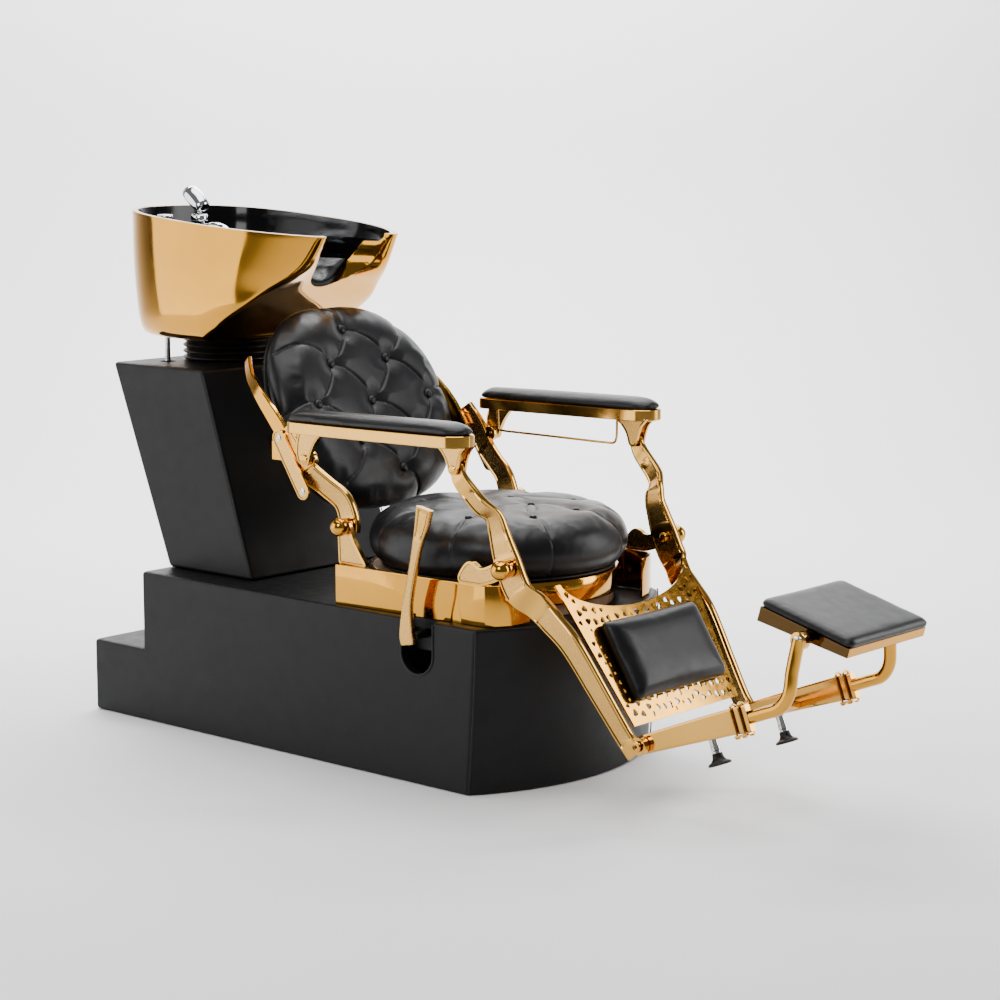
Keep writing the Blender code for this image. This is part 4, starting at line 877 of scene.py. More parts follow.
def brackets():
    foot = 0.3903
    rear = [(-0.1240, foot), (-0.1220, 0.440)] + arc(BACK_PIVOT, 0.0165, 0, 180, 14)
    rear += [(-0.162, 0.440), (-0.175, 0.422), (-0.196, foot + 0.004), (-0.196, foot)]
    front = [(-0.484, foot), (-0.430, foot), (-0.427, 0.402), (-0.436, 0.417), (-0.448, 0.431),
             (-0.460, 0.4345),
             (-0.470, 0.430), (-0.478, 0.4235), (-0.490, 0.424), (-0.525, 0.4395)]
    front += arc(LEG_PIVOT, 0.0165, 60, 180, 10) + arc(LEG_PIVOT, 0.0165, 200, 290, 8) + [(-0.520, 0.402)]
    for name, side in SIDES:
        x = side * BRACKET_X
        for kind, outline, pivot, passes in (("rear", rear, BACK_PIVOT, 1),
                                             ("front", front, LEG_PIVOT, 2)):
            shape = rounded(dense(outline, 0.003), passes + 3)
            plate = inset_plate(f"{kind}_bracket_plate_{name}", shape, x - 0.005, x + 0.005)
            hole = turned("hole", "rim", [(0.0064, -0.02), (0.0064, 0.02)], (x, *pivot), axis="X",
                          steps=32)
            cut(plate, hole)
            shade(plate, 30.0)
            stand_for(plate, "base", "gold_castings", f"{kind}_bracket_{name}")
            pin(f"{kind}_ball_pin_{name}", side, pivot, f"{kind}_pivot_pin_{name}")


def pin(name, side, pivot, node):
    """Ball-headed pivot pin with a nut on its inner end."""
    face, ball_x, ball = BRACKET_X + 0.0053, 0.2625, 0.018
    start = math.degrees(math.acos((face - ball_x) / ball))
    profile = [(ball * math.sin(math.radians(start * (1 - i / 24.2))),
                ball_x + ball * math.cos(math.radians(start * (1 - i / 24.2)))) for i in range(25)]
    inner = CASTING_X - 0.008
    nut = [(0.0045, inner - 0.0075), (0.0085, inner - 0.0060), (0.0090, inner - 0.0050), (0.0090, inner),
           (0.0055, inner), (0.0055, face)]
    piece = turned(name, "gold", nut + profile, (0, *pivot), axis="X", steps=56, angle=50)
    if side < 0:
        piece.data.transform(Matrix.Scale(-1, 4, Vector((1, 0, 0))))
        piece.data.flip_normals()
    stand_for(piece, "base", "gold_castings", node)


# ------------------------------------------------------------- reclining back

BACK_TOP = (0.152, 0.862)
BACK_FOOT = (-0.030, 0.464)


def back_axes():
    top, foot = Vector((0, *BACK_TOP)), Vector((0, *BACK_FOOT))
    up = (top - foot).normalized()
    return (top + foot) / 2, up, Vector((0, up.z, -up.y)), (top - foot).length / 2


def back_oval(offset, scale, steps=112):
    """One rounded outline across the back, wrapped forward at its sides."""
    middle, up, rearward, half_length = back_axes()
    centre = middle + rearward * offset
    ring = []
    for i in range(steps):
        angle = 2 * math.pi * i / steps
        half_width = 0.237 * scale * (1 - 0.05 * math.sin(angle))
        across = math.copysign(abs(math.cos(angle)) ** 0.78, math.cos(angle)) * half_width
        height = math.copysign(abs(math.sin(angle)) ** 0.90, math.sin(angle)) * half_length * scale
        wrap = 0.030 * (across / 0.232) ** 2
        ring.append(centre + Vector((across, 0, 0)) + up * height - rearward * wrap)
    return ring


BACK_BUTTONS = ((-0.003, 0.153), (-0.070, 0.082), (0.087, 0.082), (-0.147, 0.000), (0.013, -0.002),
                (0.166, -0.005), (-0.052, -0.082), (0.105, -0.084), (0.043, -0.149))
BACK_PLEATS = (
    ((-0.003, 0.153), (-0.070, 0.082), 0.10), ((-0.003, 0.153), (0.087, 0.082), 0.13),
    ((-0.070, 0.082), (-0.147, 0.0), 0.10), ((-0.070, 0.082), (0.013, -0.002), 0.13),
    ((0.087, 0.082), (0.013, -0.002), 0.10), ((0.087, 0.082), (0.166, -0.005), 0.13),
    ((-0.147, 0.0), (-0.052, -0.082), 0.13), ((0.013, -0.002), (-0.052, -0.082), 0.10),
    ((0.013, -0.002), (0.105, -0.084), 0.13), ((0.166, -0.005), (0.105, -0.084), 0.10),
    ((-0.052, -0.082), (0.043, -0.149), 0.13), ((0.105, -0.084), (0.043, -0.149), 0.10),
    ((-0.003, 0.153), (-0.020, 0.235), 0.06), ((-0.003, 0.153), (0.015, 0.235), -0.06),
    ((-0.070, 0.082), (-0.205, 0.118), -0.20), ((0.087, 0.082), (0.165, 0.165), -0.08),
    ((-0.147, 0.0), (-0.235, -0.015), -0.10), ((0.166, -0.005), (0.235, 0.010), 0.06),
    ((-0.052, -0.082), (-0.125, -0.165), 0.10), ((0.105, -0.084), (0.185, -0.130), -0.10),
    ((0.043, -0.149), (0.088, -0.222), 0.12))


def back_cushion():
    front = smooth_line([(-0.0300, 0.05), (-0.0300, 0.36), (-0.0290, 0.62), (-0.0200, 0.83),
                         (-0.004, 0.945),
                         (0.014, 0.995), (0.030, 0.990), (0.0440, 0.945), (0.0480, 0.90)], 4)
    rings = [back_oval(*ring) for ring in front]
    rings += [back_oval(0.048, scale) for scale in (0.60, 0.30, 0.06)]
    cushion = loft("back_tufted_cushion", "leather", rings)
    inflate(cushion, 0.0055, 4.0, 0.004)
    middle, up, rearward, _ = back_axes()
    points, normals = coordinates(cushion)
    local = points - np.array(middle)
    flat = np.stack([local[:, 0], local @ np.array(up)], axis=1)
    pleats = [curve_between(a, b, bow) for a, b, bow in BACK_PLEATS]
    facing = np.clip(-(normals @ np.array(rearward)) * 1.4 + 0.15, 0, 1)
    depth = local @ np.array(rearward)
    fade = facing * np.clip((0.030 - depth) / 0.02, 0, 1)
    points -= normals * (tuft(flat, pleats, BACK_BUTTONS, 0.0052, 0.0120, 0.0030) * fade)[:, None]
    push(cushion, points)
    stand_for(cushion, "backrest", "black_leather", "back_cushion")
    points, normals = coordinates(cushion)
    local = points - np.array(middle)
    front_side = (normals @ np.array(rearward)) < -0.2
    local, points, normals = local[front_side], points[front_side], normals[front_side]
    flat = np.stack([local[:, 0], local @ np.array(up)], axis=1)
    places = []
    for button in BACK_BUTTONS:
        index = int(np.argmin(((flat - np.array(button)) ** 2).sum(axis=1)))
        normal = Vector(-rearward) * 0.8 + Vector(normals[index]) * 0.2
        places.append((Vector(points[index]) - rearward * 0.0022, normal.normalized()))
    detail(covered_buttons("back_buttons", places, 0.0098), "backrest", "black_leather")


def back():
    near = 0.0503
    rings = [back_oval(near + depth, scale) for depth, scale in smooth_line(
        [(0.0125, 0.05), (0.0125, 0.40), (0.0122, 0.70), (0.0112, 0.84), (0.0085, 0.902), (0.0050, 0.914),
         (0.0015, 0.907), (0.0, 0.890)], 4)]
    rings += [back_oval(near, scale) for scale in (0.60, 0.05)]
    shell = loft("back_shell", "vinyl", rings, angle=60)
    stand_for(shell, "backrest", "black_leather", "back_board")
    edge = back_oval(near + 0.0040, 0.920)
    detail(tube("back_shell_piping", "seam", edge, 0.0026, 12, closed=True), "backrest", "black_leather")
    refined("back_frame", "backrest", "gold", "gold_castings", 0.0016, 3)
    for name, side in SIDES:
        stations = smooth_line(mirrored([
            (CASTING_X, -0.141, 0.448, 0.036, 0.013), (CASTING_X, -0.137, 0.470, 0.046, 0.013),
            (0.234, -0.121, 0.508, 0.044, 0.013), (0.244, -0.086, 0.535, 0.042, 0.013),
            (0.255, -0.051, 0.562, 0.044, 0.013), (0.261, -0.024, 0.600, 0.042, 0.013),
            (0.261, 0.005, 0.640, 0.030, 0.012)], side), 12)
        casting = cast_bar("back_arm_" + name, stations, [(15, 46), (49, 68)])
        lug = [(-0.045, 0.560), (-0.030, 0.605)] + arc(ARM_PIVOT, 0.015, 40, 250, 24)
        centre = side * 0.2610
        ear = round_edges(side_prism("lug", "rim", lug, centre - 0.0059, centre + 0.0059), 0.0012, 3)
        for piece in (casting, ear):
            cut(piece, through((side * CASTING_X, *BACK_PIVOT)), through((centre, *ARM_PIVOT)),
                tangled=True)
        join(casting, ear)
        shade(casting, 30)
        stand_for(casting, "backrest", "gold_castings", "back_casting_" + name)
        link_plate(name, side)


def through(place, radius=0.0068, reach=0.02):
    """A cutter for a round hole along X."""
    # the cutter leaves painted shade on the hole's wall
    return turned("bore", "shaded_groove", [(radius, -reach), (radius, reach)], place, axis="X", steps=36)


def link_plate(name, side):
    top, bottom = Vector((0.014, 0.622)), Vector((-0.050, 0.524))
    lean = math.degrees(math.atan2(top.y - bottom.y, top.x - bottom.x))
    outline = arc(top, 0.016, lean - 90, lean + 90, 20) + arc(bottom, 0.016, lean + 90, lean + 270, 20)
    plate = inset_plate("link_plate_capsule_" + name, outline, *sorted((side * 0.2680, side * 0.2729)),
                        rim=0.0032)
    for place in (top, bottom):
        head = turned("screw", "screw",
                      [(0.0, 0.0), (0.0066, 0.0), (0.0064, 0.0020), (0.0050, 0.0028), (0.0, 0.0030)],
                      (side * 0.2712, *place), axis=(side, 0, 0), steps=36)
        across = Vector((0, math.cos(math.radians(lean)), math.sin(math.radians(lean))))
        # the slot's walls take the painted shade colour
        shaded_groove = sweep("slot", "shaded_groove", [Vector((side * 0.2746, *place)) - across * 0.006,
                                          Vector((side * 0.2746, *place)) + across * 0.006],
                       [(-0.0007, -0.0016), (0.0007, -0.0016), (0.0007, 0.0016), (-0.0007, 0.0016)],
                       twist_start=across.cross(Vector((1, 0, 0))))
        cut(head, shaded_groove)
        join(plate, head)
    shade(plate, 30)
    stand_for(plate, "backrest", "gold_castings", "link_plate_" + name)


# ------------------------------------------------------------------- armrests

def arm_outline(x, shrink=0.0, spans=8):
    """Closed plan of an armrest centred on x, wider at its front."""
    front, rear = -0.481 + shrink, -0.030 - shrink
    half = [(0.0, rear), (0.010, rear - 0.0003), (0.018, rear - 0.003), (0.0225, rear - 0.010),
            (0.026, rear - 0.035), (0.032, -0.18), (0.0355, -0.36), (0.0345, front + 0.040),
            (0.029, front + 0.018), (0.018, front + 0.0045), (0.0, front)]
    curve = smooth_line(half, spans)
    right = [(max(0.0, h - shrink * min(1.0, h / 0.012)), y) for h, y in curve]
    plan = right + [(-h, y) for h, y in right[-2:0:-1]]
    return [(x + h, y) for h, y in plan]


def arm_level(y, height):
    """Height on the armrest, which rises slightly to the front."""
    return height + 0.014 * (ARM_PIVOT[0] - y)


def armrests():
    for name, side in SIDES:
        x = side * 0.2765
        body = "armrest_" + name
        tray = loft("arm_tray_" + name, "rim",
                    [[Vector((px, py, arm_level(py, z))) for px, py in arm_outline(x, inset)]
                     for z, inset in ((0.6388, 0.0016), (0.6391, 0.0008), (0.6402, 0.0),
                                      (0.6595, 0.0), (0.6606, 0.0008), (0.6609, 0.0016))])
        foot_x = side * 0.2750
        foot = [(-0.050, 0.644), (-0.043, 0.622), (-0.0405, 0.600), (-0.0450, 0.582)]
        foot += arc(ARM_PIVOT, 0.013, -60, -170, 16) + [(-0.078, 0.598), (-0.088, 0.617), (-0.100, 0.632),
                                                        (-0.116, 0.644)]
        shape = rounded(dense(foot, 0.003), 3)
        join(tray, inset_plate("foot", shape, *sorted((foot_x - 0.0045, foot_x + 0.0045)), rim=0.0035))
        axle = turned("axle", "gold", [(0.0055, -0.012), (0.0055, 0.012)], (side * 0.2640, *ARM_PIVOT),
                      axis="X", steps=32)
        head = turned("head", "rim",
                      [(0.0, 0.0), (0.0095, 0.0), (0.0095, 0.0014), (0.0080, 0.0030), (0.0, 0.0040)],
                      (side * 0.2792, *ARM_PIVOT), axis=(side, 0, 0), steps=40)
        join(tray, axle, head)
        cheek = [(-0.378, 0.650), (-0.394, 0.645), (-0.410, 0.636), (-0.422, 0.622), (-0.4285, 0.606)]
        cheek += arc(LINK_PIVOT, 0.0110, -10, -165, 20) + [(-0.4535, 0.614), (-0.4610, 0.634),
                                                           (-0.4780, 0.650)]
        outline = rounded(dense(cheek, 0.003), 3)
        for start in (-0.0135, 0.0085):
            near = side * 0.2640 + start
            join(tray, inset_plate("cheek", outline, near, near + 0.005, rim=0.0036, recess=0.0008))
        link = turned("link", "gold", [(0.0040, -0.0118), (0.0040, 0.0118)], (side * 0.2640, *LINK_PIVOT),
                      axis="X", steps=28)
        cap = turned("cap", "rim",
                     [(0.0, 0.0), (0.0072, 0.0), (0.0072, 0.0008), (0.0060, 0.0018), (0.0, 0.0022)],
                     (side * 0.2640 + side * 0.0134, *LINK_PIVOT), axis=(side, 0, 0), steps=32)
        join(tray, link, cap)
        shade(tray, 30)
        stand_for(tray, body, "gold_castings", "armrest_frame_" + name)
        rings = [[Vector((px, py, arm_level(py, z))) for px, py in arm_outline(x, shrink)]
                 for z, shrink in ((0.6613, 0.0030), (0.6625, 0.0015), (0.6660, 0.0006), (0.6700, 0.0025),
                                   (0.6745, 0.0070), (0.6785, 0.0130), (0.6815, 0.0200),
                                   (0.6825, 0.0270))]
        pad = loft("arm_pad_cover_" + name, "leather", rings)
        inflate(pad, 0.0040, 4.0, 0.0015)
        points, _ = coordinates(pad)
        floor = arm_level(points[:, 1], 0.6613)
        points[:, 2] = np.maximum(points[:, 2], floor)
        push(pad, points)
        stand_for(pad, body, "black_leather", "armrest_pad_" + name)
    rail = smooth_line([(0.247, -0.0935, 0.6400), (0.247, -0.0940, 0.6150), (0.247, -0.0965, 0.6030),
                        (0.247, -0.1050, 0.5985),
                        (0.247, -0.1400, 0.5978), (0.247, -0.2500, 0.5972), (0.247, -0.3700, 0.5962),
                        (0.247, -0.3960, 0.5975), (0.247, -0.4025, 0.6060), (0.247, -0.4040, 0.6180),
                        (0.247, -0.4040, 0.6420)], 6)
    stand_for(tube("towel_bar", "rim", rail, 0.0025, 20), "armrest_left", "gold_castings", "towel_rail")


# -------------------------------------------------------------------- leg rest

LEG_STATIONS = (
    (0.2640, -0.4330, 0.6140, 0.026, 0.010), (0.2640, -0.4400, 0.6010, 0.030, 0.010),
    (0.2640, -0.4525, 0.5787, 0.034, 0.012), (0.2575, -0.4910, 0.5393, 0.036, 0.013),
    (0.2385, -0.5060, 0.5189, 0.038, 0.013), (CASTING_X, -0.5114, 0.4945, 0.043, 0.013),
    (CASTING_X, -0.5201, 0.4697, 0.050, 0.013), (CASTING_X, -0.5328, 0.4381, 0.0585, 0.013),
    (CASTING_X, -0.5494, 0.4022, 0.0605, 0.013), (0.2300, -0.5652, 0.3800, 0.058, 0.013),
    (0.2125, -0.5860, 0.3610, 0.054, 0.013), (0.2075, -0.6170, 0.3350, 0.050, 0.013),
    (0.2020, -0.6580, 0.2960, 0.046, 0.013), (0.1900, -0.7130, 0.2150, 0.042, 0.013),
    (0.1810, -0.7590, 0.1480, 0.038, 0.013), (0.1790, -0.7880, 0.1160, 0.040, 0.013))


def leg_castings():
    for name, side in SIDES:
        stations = smooth_line(mirrored(LEG_STATIONS, side), 8)
        casting = cast_bar("leg_arm_" + name, stations, [(20, 53), (58, 69), (84, 114)])
        boss = turned("boss", "rim",
                      [(0.0160, -0.0065), (0.0170, -0.0055), (0.0170, 0.0055), (0.0160, 0.0065)],
                      (side * 0.1790, *FOOT_PIVOT), axis="X", steps=48)
        cut(boss, through((side * 0.1790, *FOOT_PIVOT)))
        cut(casting, through((side * 0.2640, *LINK_PIVOT), 0.0085),
            through((side * CASTING_X, *LEG_PIVOT)),
            through((side * 0.1790, *FOOT_PIVOT)), tangled=True)
        join(casting, boss)
        shade(casting, 30)
        stand_for(casting, "legrest", "gold_castings", "leg_casting_" + name)


PLATE_FOOT = Vector((0.0, -0.766, 0.158))
PLATE_TOP = Vector((0.0, -0.613, 0.3985))
PLATE_HEIGHT = (PLATE_TOP - PLATE_FOOT).length
PLATE_THICKNESS = 0.004
SCOOP_WIDTH = 0.93
SCOOP_DEPTH = 0.23


def plate_half(v):
    """Half the plate's width at a height up it."""
    return 0.158 + 0.038 * v / PLATE_HEIGHT


def plate_point(x, v, depth):
    """A point X along the plate, v up its slope and depth in front of it."""
    slope = (PLATE_TOP - PLATE_FOOT).normalized()
    forward = Vector((0, -slope.z, slope.y))
    return PLATE_FOOT + slope * v + forward * depth + Vector((x, 0, 0))


def plate_outline():
    """Straight foot and sides under a scooped top edge, as (X, height up the plate)."""
    angles = [math.pi * i / 40 for i in range(41)]
    scoop = [(SCOOP_WIDTH * math.cos(a), 1.0 - SCOOP_DEPTH * math.sin(a)) for a in angles]
    shares = [(-1.0, 0.0), (1.0, 0.0), (1.0, 1.0)] + scoop + [(-1.0, 1.0)]
    return [(u * plate_half(share * PLATE_HEIGHT), share * PLATE_HEIGHT) for u, share in shares]


def has_room(x, v, radius, holes):
    """Whether a new opening stays clear of the plate's edges and of the other openings."""
    across = abs(x) / (SCOOP_WIDTH * plate_half(v))
    scoop = SCOOP_DEPTH * math.sqrt(1 - across * across) if across < 1 else 0.0
    over = PLATE_HEIGHT * (1.0 - scoop) - v
    if min(plate_half(v) - abs(x), v) < radius + 0.0035 or over < radius + 0.0045:
        return False
    return all(math.hypot(x - a, v - c) > radius + d + 0.0021 for a, c, d, _ in holes)


def plate_holes():
    """Pierced openings as (X, height up the plate, radius, narrowing)."""
    values = np.random.default_rng(7)
    holes = []
    for sign in (-1, 1):
        for k in range(9):
            v = PLATE_HEIGHT * (0.17 + 0.062 * k)
            x = sign * 0.848 * plate_half(v)
            if has_room(x, v, 0.0050, holes):
                holes.append((x, v, 0.0050, 1.6))
    for size in (0.0078, 0.0060, 0.0044):
        for _ in range(1500):
            x, v = values.uniform(-0.19, 0.19), values.uniform(0, PLATE_HEIGHT)
            radius = size * values.uniform(0.9, 1.1)
            beside = abs(x) > 0.150 and values.uniform() < 0.3
            clear_of_pad = v < 0.158 * PLATE_HEIGHT or v > 0.70 * PLATE_HEIGHT
            if (clear_of_pad or beside) and has_room(x, v, radius, holes):
                holes.append((x, v, radius, 1.0))
    return holes


def opening(x, v, radius, narrowing):
    """The lobed outline of one pierced opening."""
    phase = x * 90 + v * 130
    outline = []
    for angle in [2 * math.pi * k / 16 for k in range(16)]:
        swell = 0.80 + 0.13 * math.sin(3 * angle + phase) + 0.07 * math.sin(2 * angle + 2 * phase)
        reach = radius * swell
        outline.append((x + reach * math.cos(angle) / narrowing, v + reach * math.sin(angle)))
    return outline


def enclosed(points, outlines):
    """Which points have an odd number of outline crossings to one side."""
    odd = np.zeros(len(points), bool)
    for outline in outlines:
        for (a, b), (c, d) in zip(outline, outline[1:] + outline[:1]):
            spans = (b > points[:, 1]) != (d > points[:, 1])
            crossing = a + (points[:, 1] - b) * (c - a) / ((d - b) or 1.0)
            odd ^= spans & (points[:, 0] < crossing)
    return odd


def fretwork():
    outlines = [plate_outline()] + [opening(*hole) for hole in plate_holes()]
    points, edges = [], []
    for outline in outlines:
        start, count = len(points), len(outline)
        points += [Vector(point) for point in outline]
        edges += [(start + i, start + (i + 1) % count) for i in range(count)]
    whole_area = 0
    flat, _, triangles, *_ = delaunay_2d_cdt(points, edges, [], whole_area, 1e-6)
    centres = np.array([np.mean([flat[i] for i in triangle], axis=0) for triangle in triangles])
    bm = bmesh.new()
    corners = [bm.verts.new(plate_point(x, v, 0.0)) for x, v in flat]
    for triangle, solid in zip(triangles, enclosed(centres, outlines)):
        if solid:
            bm.faces.new([corners[i] for i in triangle])
    plate = new_piece("pierced_plate", bm, "gold", 30.0)
    change = plate.modifiers.new("thick", "SOLIDIFY")
    change.thickness = PLATE_THICKNESS
    change.offset = 0.0
    shade(settle(plate), 30.0)
    stand_for(plate, "legrest", "gold_castings", "fretwork_plate")


def pillow(name, corner, bulge, width, low, high, place, voxel, most):
    """Rounded-rectangle pad built over a plane given by place(u, v, depth)."""
    rings = []
    for depth, inset in bulge:
        ring = []
        for cx, cy, start in ((1, 1, 0), (-1, 1, 90), (-1, -1, 180), (1, -1, 270)):
            for k in range(9):
                angle = math.radians(start + 90 * k / 8)
                radius = max(corner - inset * 0.4, 0.004)
                u = cx * (width - radius - inset) + radius * math.cos(angle)
                mid, half = (low + high) / 2, (high - low) / 2
                v = mid + cy * (half - radius - inset) + radius * math.sin(angle)
                ring.append(place(u, v, depth))
        rings.append(ring)
    pad = loft(name, "leather", rings)
    inflate(pad, voxel, 4.0, most)
    return pad


def calf_pad():
    low, high = 0.140 * PLATE_HEIGHT, 0.695 * PLATE_HEIGHT
    bulge = [(0.0026, 0.004), (0.0050, 0.0015), (0.0110, 0.0), (0.0180, 0.0015), (0.0245, 0.007),
             (0.0300, 0.018), (0.0335, 0.034), (0.0345, 0.050)]
    pad = pillow("calf_pillow", 0.010, bulge, 0.1375, low, high, plate_point, 0.0050, 0.0025)
    stand_for(pad, "legrest", "black_leather", "calf_pad")


# ------------------------------------------------------------------ foot frame

ARM_FRONT = (-1.020, 0.2170)


def nut(place, direction, size=0.0058, height=0.0055):
    return round_edges(turned("nut", "rim", [(size, 0.0), (size, height)], place, tuple(direction),
                              steps=6), 0.0006, 2)


def foot_frame():
    for name, side in SIDES:
        x = side * 0.1640
        stations = smooth_line([
            (x, FOOT_PIVOT[0] + 0.012, 0.1275, 0.026, 0.014), (x, FOOT_PIVOT[0], 0.132, 0.034, 0.014),
            (x, -0.822, 0.1425, 0.036, 0.014), (x, -0.920, 0.1798, 0.042, 0.014),
            (x, *ARM_FRONT, 0.048, 0.014)], 8)
        arm = cast_bar("side_arm_bar_" + name, stations, (), 0.006)
        stud = turned("stud", "gold", [(0.0055, 0.0), (0.0055, 0.0200)], (side * 0.1690, *FOOT_PIVOT),
                      axis=(side, 0, 0), steps=32)
        head = turned("head", "rim",
                      [(0.0, 0.0), (0.0100, 0.0), (0.0100, 0.0025), (0.0092, 0.0040), (0.0052, 0.0044),
                                      (0.0048, 0.0026), (0.0, 0.0024)],
                      (side * 0.1886, *FOOT_PIVOT), axis=(side, 0, 0), steps=48, angle=25)
        # a dark hexagon painted in as the shade of the head's socket
        socket = turned("socket", "shaded_groove", [(0.0, 0.0), (0.0034, 0.0), (0.0034, 0.0010), (0.0, 0.0010)],
                        (side * 0.1908, *FOOT_PIVOT), axis=(side, 0, 0), steps=6)
        join(arm, stud, head, socket)
        stand_for(arm, "foot_frame", "gold_castings", "side_arm_" + name)
        stem_end = Vector((side * 0.104, -0.9085, 0.124))
        down = Vector((0, -0.0155, -0.040)).normalized()
        bell = turned("glide_bell_" + name, "rubber", smooth_line([
            (0.0060, 0.0003), (0.0090, 0.0006), (0.0098, 0.0050), (0.0108, 0.0095), (0.0140, 0.0140),
            (0.0190, 0.0165), (0.0210, 0.0185), (0.0210, 0.0212), (0.0190, 0.0219), (0.0080, 0.0219)], 4),
            stem_end, tuple(down), steps=64)
        stand_for(bell, "foot_frame", "black_rubber", "glide_" + name)
        tube_x = side * 0.1600
        route = smooth_line([(tube_x, ARM_FRONT[0] - 0.001, 0.2175), (tube_x, -1.050, 0.2290),
                             (tube_x, -1.078, 0.2420),
                             (side * 0.158, -1.094, 0.268), (side * 0.154, -1.097, 0.305),
                             (side * 0.149, -1.101, 0.340),
                             (side * 0.1465, PAD_PIVOT[0], 0.362)], 10)
        bent = tube("bent_tube_" + name, "gold", route, 0.0115, 40)
        eye = turned("eye", "rim",
                     [(0.0145, -0.0078), (0.0160, -0.0066), (0.0160, 0.0066), (0.0145, 0.0078)],
                     (side * 0.1430, *PAD_PIVOT), axis="X", steps=48)
        for piece in (bent, eye):
            cut(piece, through((side * 0.1320, *PAD_PIVOT), 0.0068, 0.012), tangled=True)
        join(bent, eye)
        round_head = turned("screw", "screw",
                            [(0.0, 0.0), (0.0098, 0.0), (0.0096, 0.0014), (0.0070, 0.0030),
                             (0.0, 0.0036)],
                            (side * 0.1504, *PAD_PIVOT), axis=(side, 0, 0), steps=40)
        join(bent, round_head)
        shade(bent, 40)
        stand_for(bent, "foot_frame", "gold_castings", "foot_tube_" + name)
        u_bolts(name, side)
    beam = loft("cross_beam", "gold",
                [[Vector((x, y, z))
                  for y, z in ((-0.909, 0.158), (-0.879, 0.158), (-0.879, 0.170), (-0.909, 0.170))]
                 for x in (-0.1565, 0.1565)])
    round_edges(beam, 0.0022, 4)
    stand_for(beam, "foot_frame", "gold_castings", "foot_cross_bar")
    for name, side in SIDES:
        stem_end = Vector((side * 0.104, -0.9085, 0.124))
        top = Vector((side * 0.104, -0.893, 0.164))
        axis = (stem_end - top).normalized()
        stem = turned("glide_stem_" + name, "chrome",
                      [(0.0078, 0.0), (0.0078, 0.030), (0.0088, 0.031), (0.0088, 0.038),
                                                       (0.0074, 0.0395),
                                                       (0.0074, (stem_end - top).length)],
                      top, tuple(axis), steps=48)
        detail(stem, "foot_frame", "chrome_fittings")


def u_bolts(name, side):
    """Two round U-bolts over the side arm, with a saddle and nuts underneath."""
    x = side * 0.1640
    slope = math.atan2(ARM_FRONT[1] - 0.1425, ARM_FRONT[0] + 0.822)
    along = Vector((0, math.cos(slope), math.sin(slope)))
    up = Vector((0, math.sin(slope), -math.cos(slope)))
    if up.z < 0:
        up = -up
    middle = Vector((x, -1.000, 0.2101))
    saddle = round_edges(loft("clamp_saddle_" + name, "rim", [
        [middle + along * d + Vector((a, 0, 0)) + up * b
         for a, b in ((0.0125, -0.0290), (0.0125, -0.0250), (-0.0125, -0.0250), (-0.0125, -0.0290))]
        for d in (-0.0138, 0.0138)]), 0.0010, 3)
    for offset in (-0.0085, 0.0085):
        centre = middle + along * offset
        loop = [centre + Vector((0.0100, 0, 0)) + up * b for b in (-0.0312, -0.020, 0.0, 0.0180)]
        loop += [centre + Vector((0.0100 * math.cos(a), 0, 0)) + up * (0.0180 + 0.0098 * math.sin(a))
                 for a in [math.pi * k / 14 for k in range(1, 14)]]
        loop += [centre + Vector((-0.0100, 0, 0)) + up * b for b in (0.0180, 0.0, -0.020, -0.0312)]
        join(saddle, tube("bolt", "rim", loop, 0.0023, 20))
        for a in (-0.0100, 0.0100):
            join(saddle, nut(centre + Vector((a, 0, 0)) - up * 0.0290, -up, 0.0046, 0.0028))
    shade(saddle, 35)
    stand_for(saddle, "foot_frame", "gold_castings", "tube_clamp_" + name)


def pad_point(x, along, height):
    """A point on the foot pad's tilted plane, from its front edge."""
    front = Vector((x, -1.184, 0.338))
    rearward = Vector((0, math.cos(math.radians(15.6)), math.sin(math.radians(15.6))))
    up = Vector((0, -rearward.z, rearward.y))
    return front + rearward * along + up * height


def footplate():
    # the tray's near-black colour is painted shade
    refined("foot_tray", "footplate", "shaded_mirror", "gold_castings", 0.0010, 3)
    front_edge = loft("tray_front_strip", "gold", [
        [pad_point(x, a, h)
         for a, h in ((-0.0006, -0.0008), (-0.0006, 0.0140), (0.0004, 0.0140), (0.0004, -0.0008))]
        for x in (-0.1205, 0.1205)])
    detail(front_edge, "footplate", "gold_castings")

    bulge = [(0.0154, 0.003), (0.0160, 0.0010), (0.0180, 0.0), (0.0220, 0.0), (0.0260, 0.0012),
             (0.0290, 0.0042), (0.0308, 0.0100), (0.0314, 0.0200)]
    pad = pillow("foot_pad_cover", 0.013, bulge, 0.1262, -0.0062, 0.1900, pad_point, 0.0045, 0.0012)
    points, _ = coordinates(pad)
    origin, up = np.array(pad_point(0, 0, 0)), np.array(pad_point(0, 0, 1) - pad_point(0, 0, 0))
    level = (points - origin) @ up
    points += np.maximum(0.0153 - level, 0)[:, None] * up
    push(pad, points)
    stand_for(pad, "footplate", "black_leather", "foot_pad")


# --------------------------------------------------------------- recline lever

def recline_lever():
    x = -0.2860
    stations = smooth_line([
        (x, -0.3380, 0.268, 0.030, 0.011), (x, -0.3360, 0.280, 0.034, 0.011),
        (x, -0.3350, 0.300, 0.030, 0.011),
        (x, -0.3370, 0.340, 0.021, 0.011), (x, -0.3460, 0.385, 0.018, 0.011),
        (x, -0.3610, 0.450, 0.020, 0.011),
        (x, -0.3740, 0.495, 0.031, 0.011), (x, -0.3810, 0.527, 0.037, 0.011)], 8)
    lever = cast_bar("recline_handle", stations, [(44, 54)], 0.0062, 0.0016)
    lever.data.materials[0] = M["panel"]
    lever.data.materials[1] = M["rim"]
    round_edges(lever, 0.0011, 3, 50)
    shade(lever, 35)
    stand_for(lever, "release_lever", "gold_castings", "recline_lever")


# ----------------------------------------------------------- floor and lights

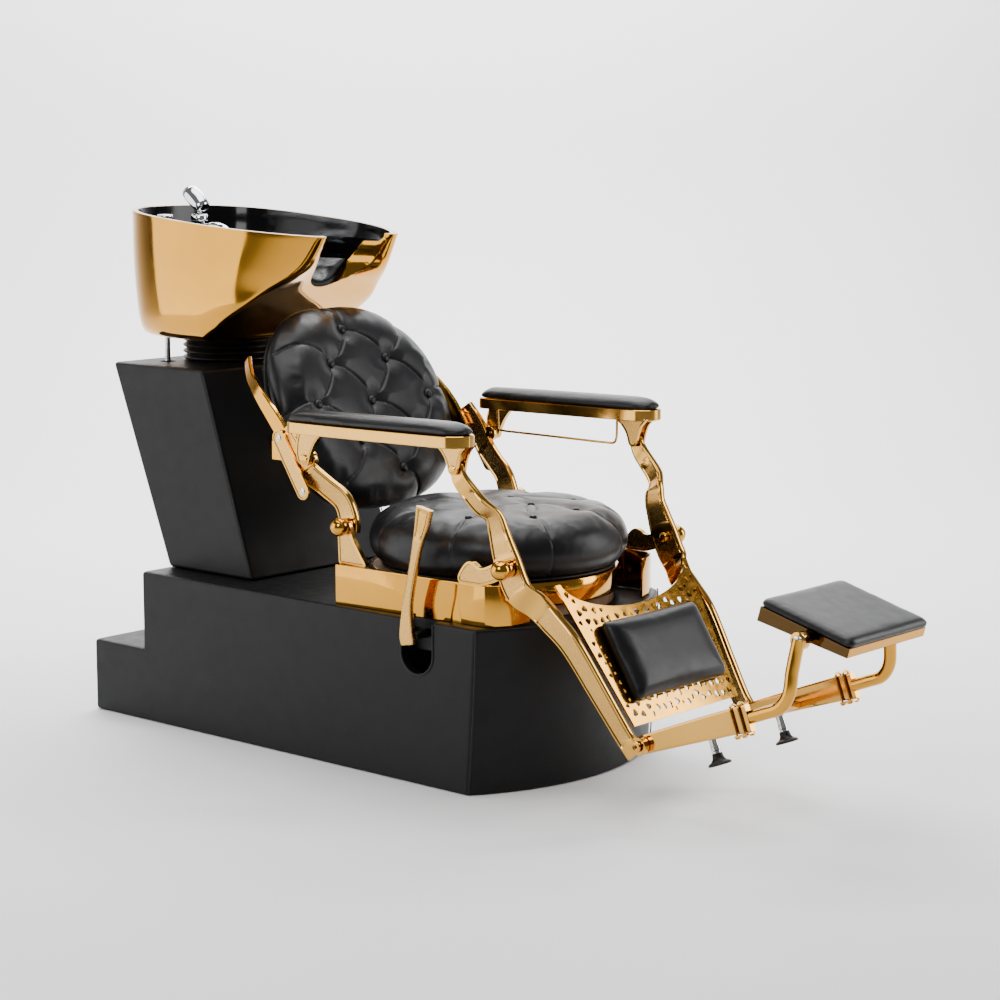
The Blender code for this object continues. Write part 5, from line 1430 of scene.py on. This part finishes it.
def studio():
    scene = bpy.context.scene
    bm = bmesh.new()
    profile = [(-9.0, 0.0), (2.6, 0.0)]
    profile += [(2.6 + 1.2 * math.sin(a), 1.2 - 1.2 * math.cos(a))
                for a in [math.pi / 2 * k / 16 for k in range(1, 17)]]
    profile += [(3.8, 5.5)]
    heading = Vector((0.7555, 0.6552, 0))
    across = Vector((0.6552, -0.7555, 0))
    rows = [[bm.verts.new(heading * d + across * s + Vector((0, 0, z))) for s in (-9.0, 9.0)]
            for d, z in profile]
    for near, far in zip(rows, rows[1:]):
        bm.faces.new((near[0], near[1], far[1], far[0]))
    floor = Finish("pale_floor", (0.86, 0.86, 0.86), 0.0, 0.62)
    floor.tint(floor.noise(2.0), 0.010).rough(floor.noise(8.0), 0.1).bump(floor.noise(60.0), 0.0001, 0.2)
    M["floor"] = floor.material
    sheet = new_piece("studio_floor", bm, "floor", 180)

    def lamp(name, place, aim, width, height, power):
        light = bpy.data.lights.new(name, "AREA")
        light.shape = "RECTANGLE"
        light.size = width
        light.size_y = height
        light.energy = power
        holder = bpy.data.objects.new(name, light)
        holder.location = place
        holder.rotation_euler = (Vector(aim) - Vector(place)).to_track_quat("-Z", "Y").to_euler()
        scene.collection.objects.link(holder)
        return holder

    lamp("overhead", (0.0, -0.2, 3.2), (0, -0.2, 0), 2.6, 2.6, 105)
    lamp("rear_left_soft", (-2.5, 2.1, 1.25), (0, 0.2, 0.8), 3.4, 2.5, 74)
    lamp("front_right_soft", (2.3, -2.6, 1.3), (0, -0.4, 0.4), 1.0, 2.3, 56)
    lamp("front_left_soft", (-2.7, -1.5, 2.3), (0, -0.2, 0.5), 1.1, 1.1, 36)
    lamp("back_wall_wash", (1.6, 1.4, 3.6), (3.0, 2.6, 0.8), 4.4, 1.5, 420)
    world = bpy.data.worlds.new("studio_world")
    world.use_nodes = True
    shade_node = world.node_tree.nodes["Background"]
    shade_node.inputs["Color"].default_value = (0.86, 0.87, 0.90, 1)
    shade_node.inputs["Strength"].default_value = 0.20
    scene.world = world


def camera():
    scene = bpy.context.scene
    data = bpy.data.cameras.new("camera")
    data.sensor_width = 36.0
    data.lens = 2417 * 36 / 1000
    data.clip_end = 60
    holder = bpy.data.objects.new("camera", data)
    holder.location = (-3.4776, -3.3302, 1.2)
    holder.rotation_euler = (math.pi / 2 - math.atan(366 / 2417), 0, math.radians(-49.059))
    scene.collection.objects.link(holder)
    scene.camera = holder


plinth()
bellows()
basin()
neck_rest()
fittings()
seat()
seat_cushion()
brackets()
back()
back_cushion()
armrests()
leg_castings()
fretwork()
calf_pad()
foot_frame()
footplate()
recline_lever()
studio()
camera()
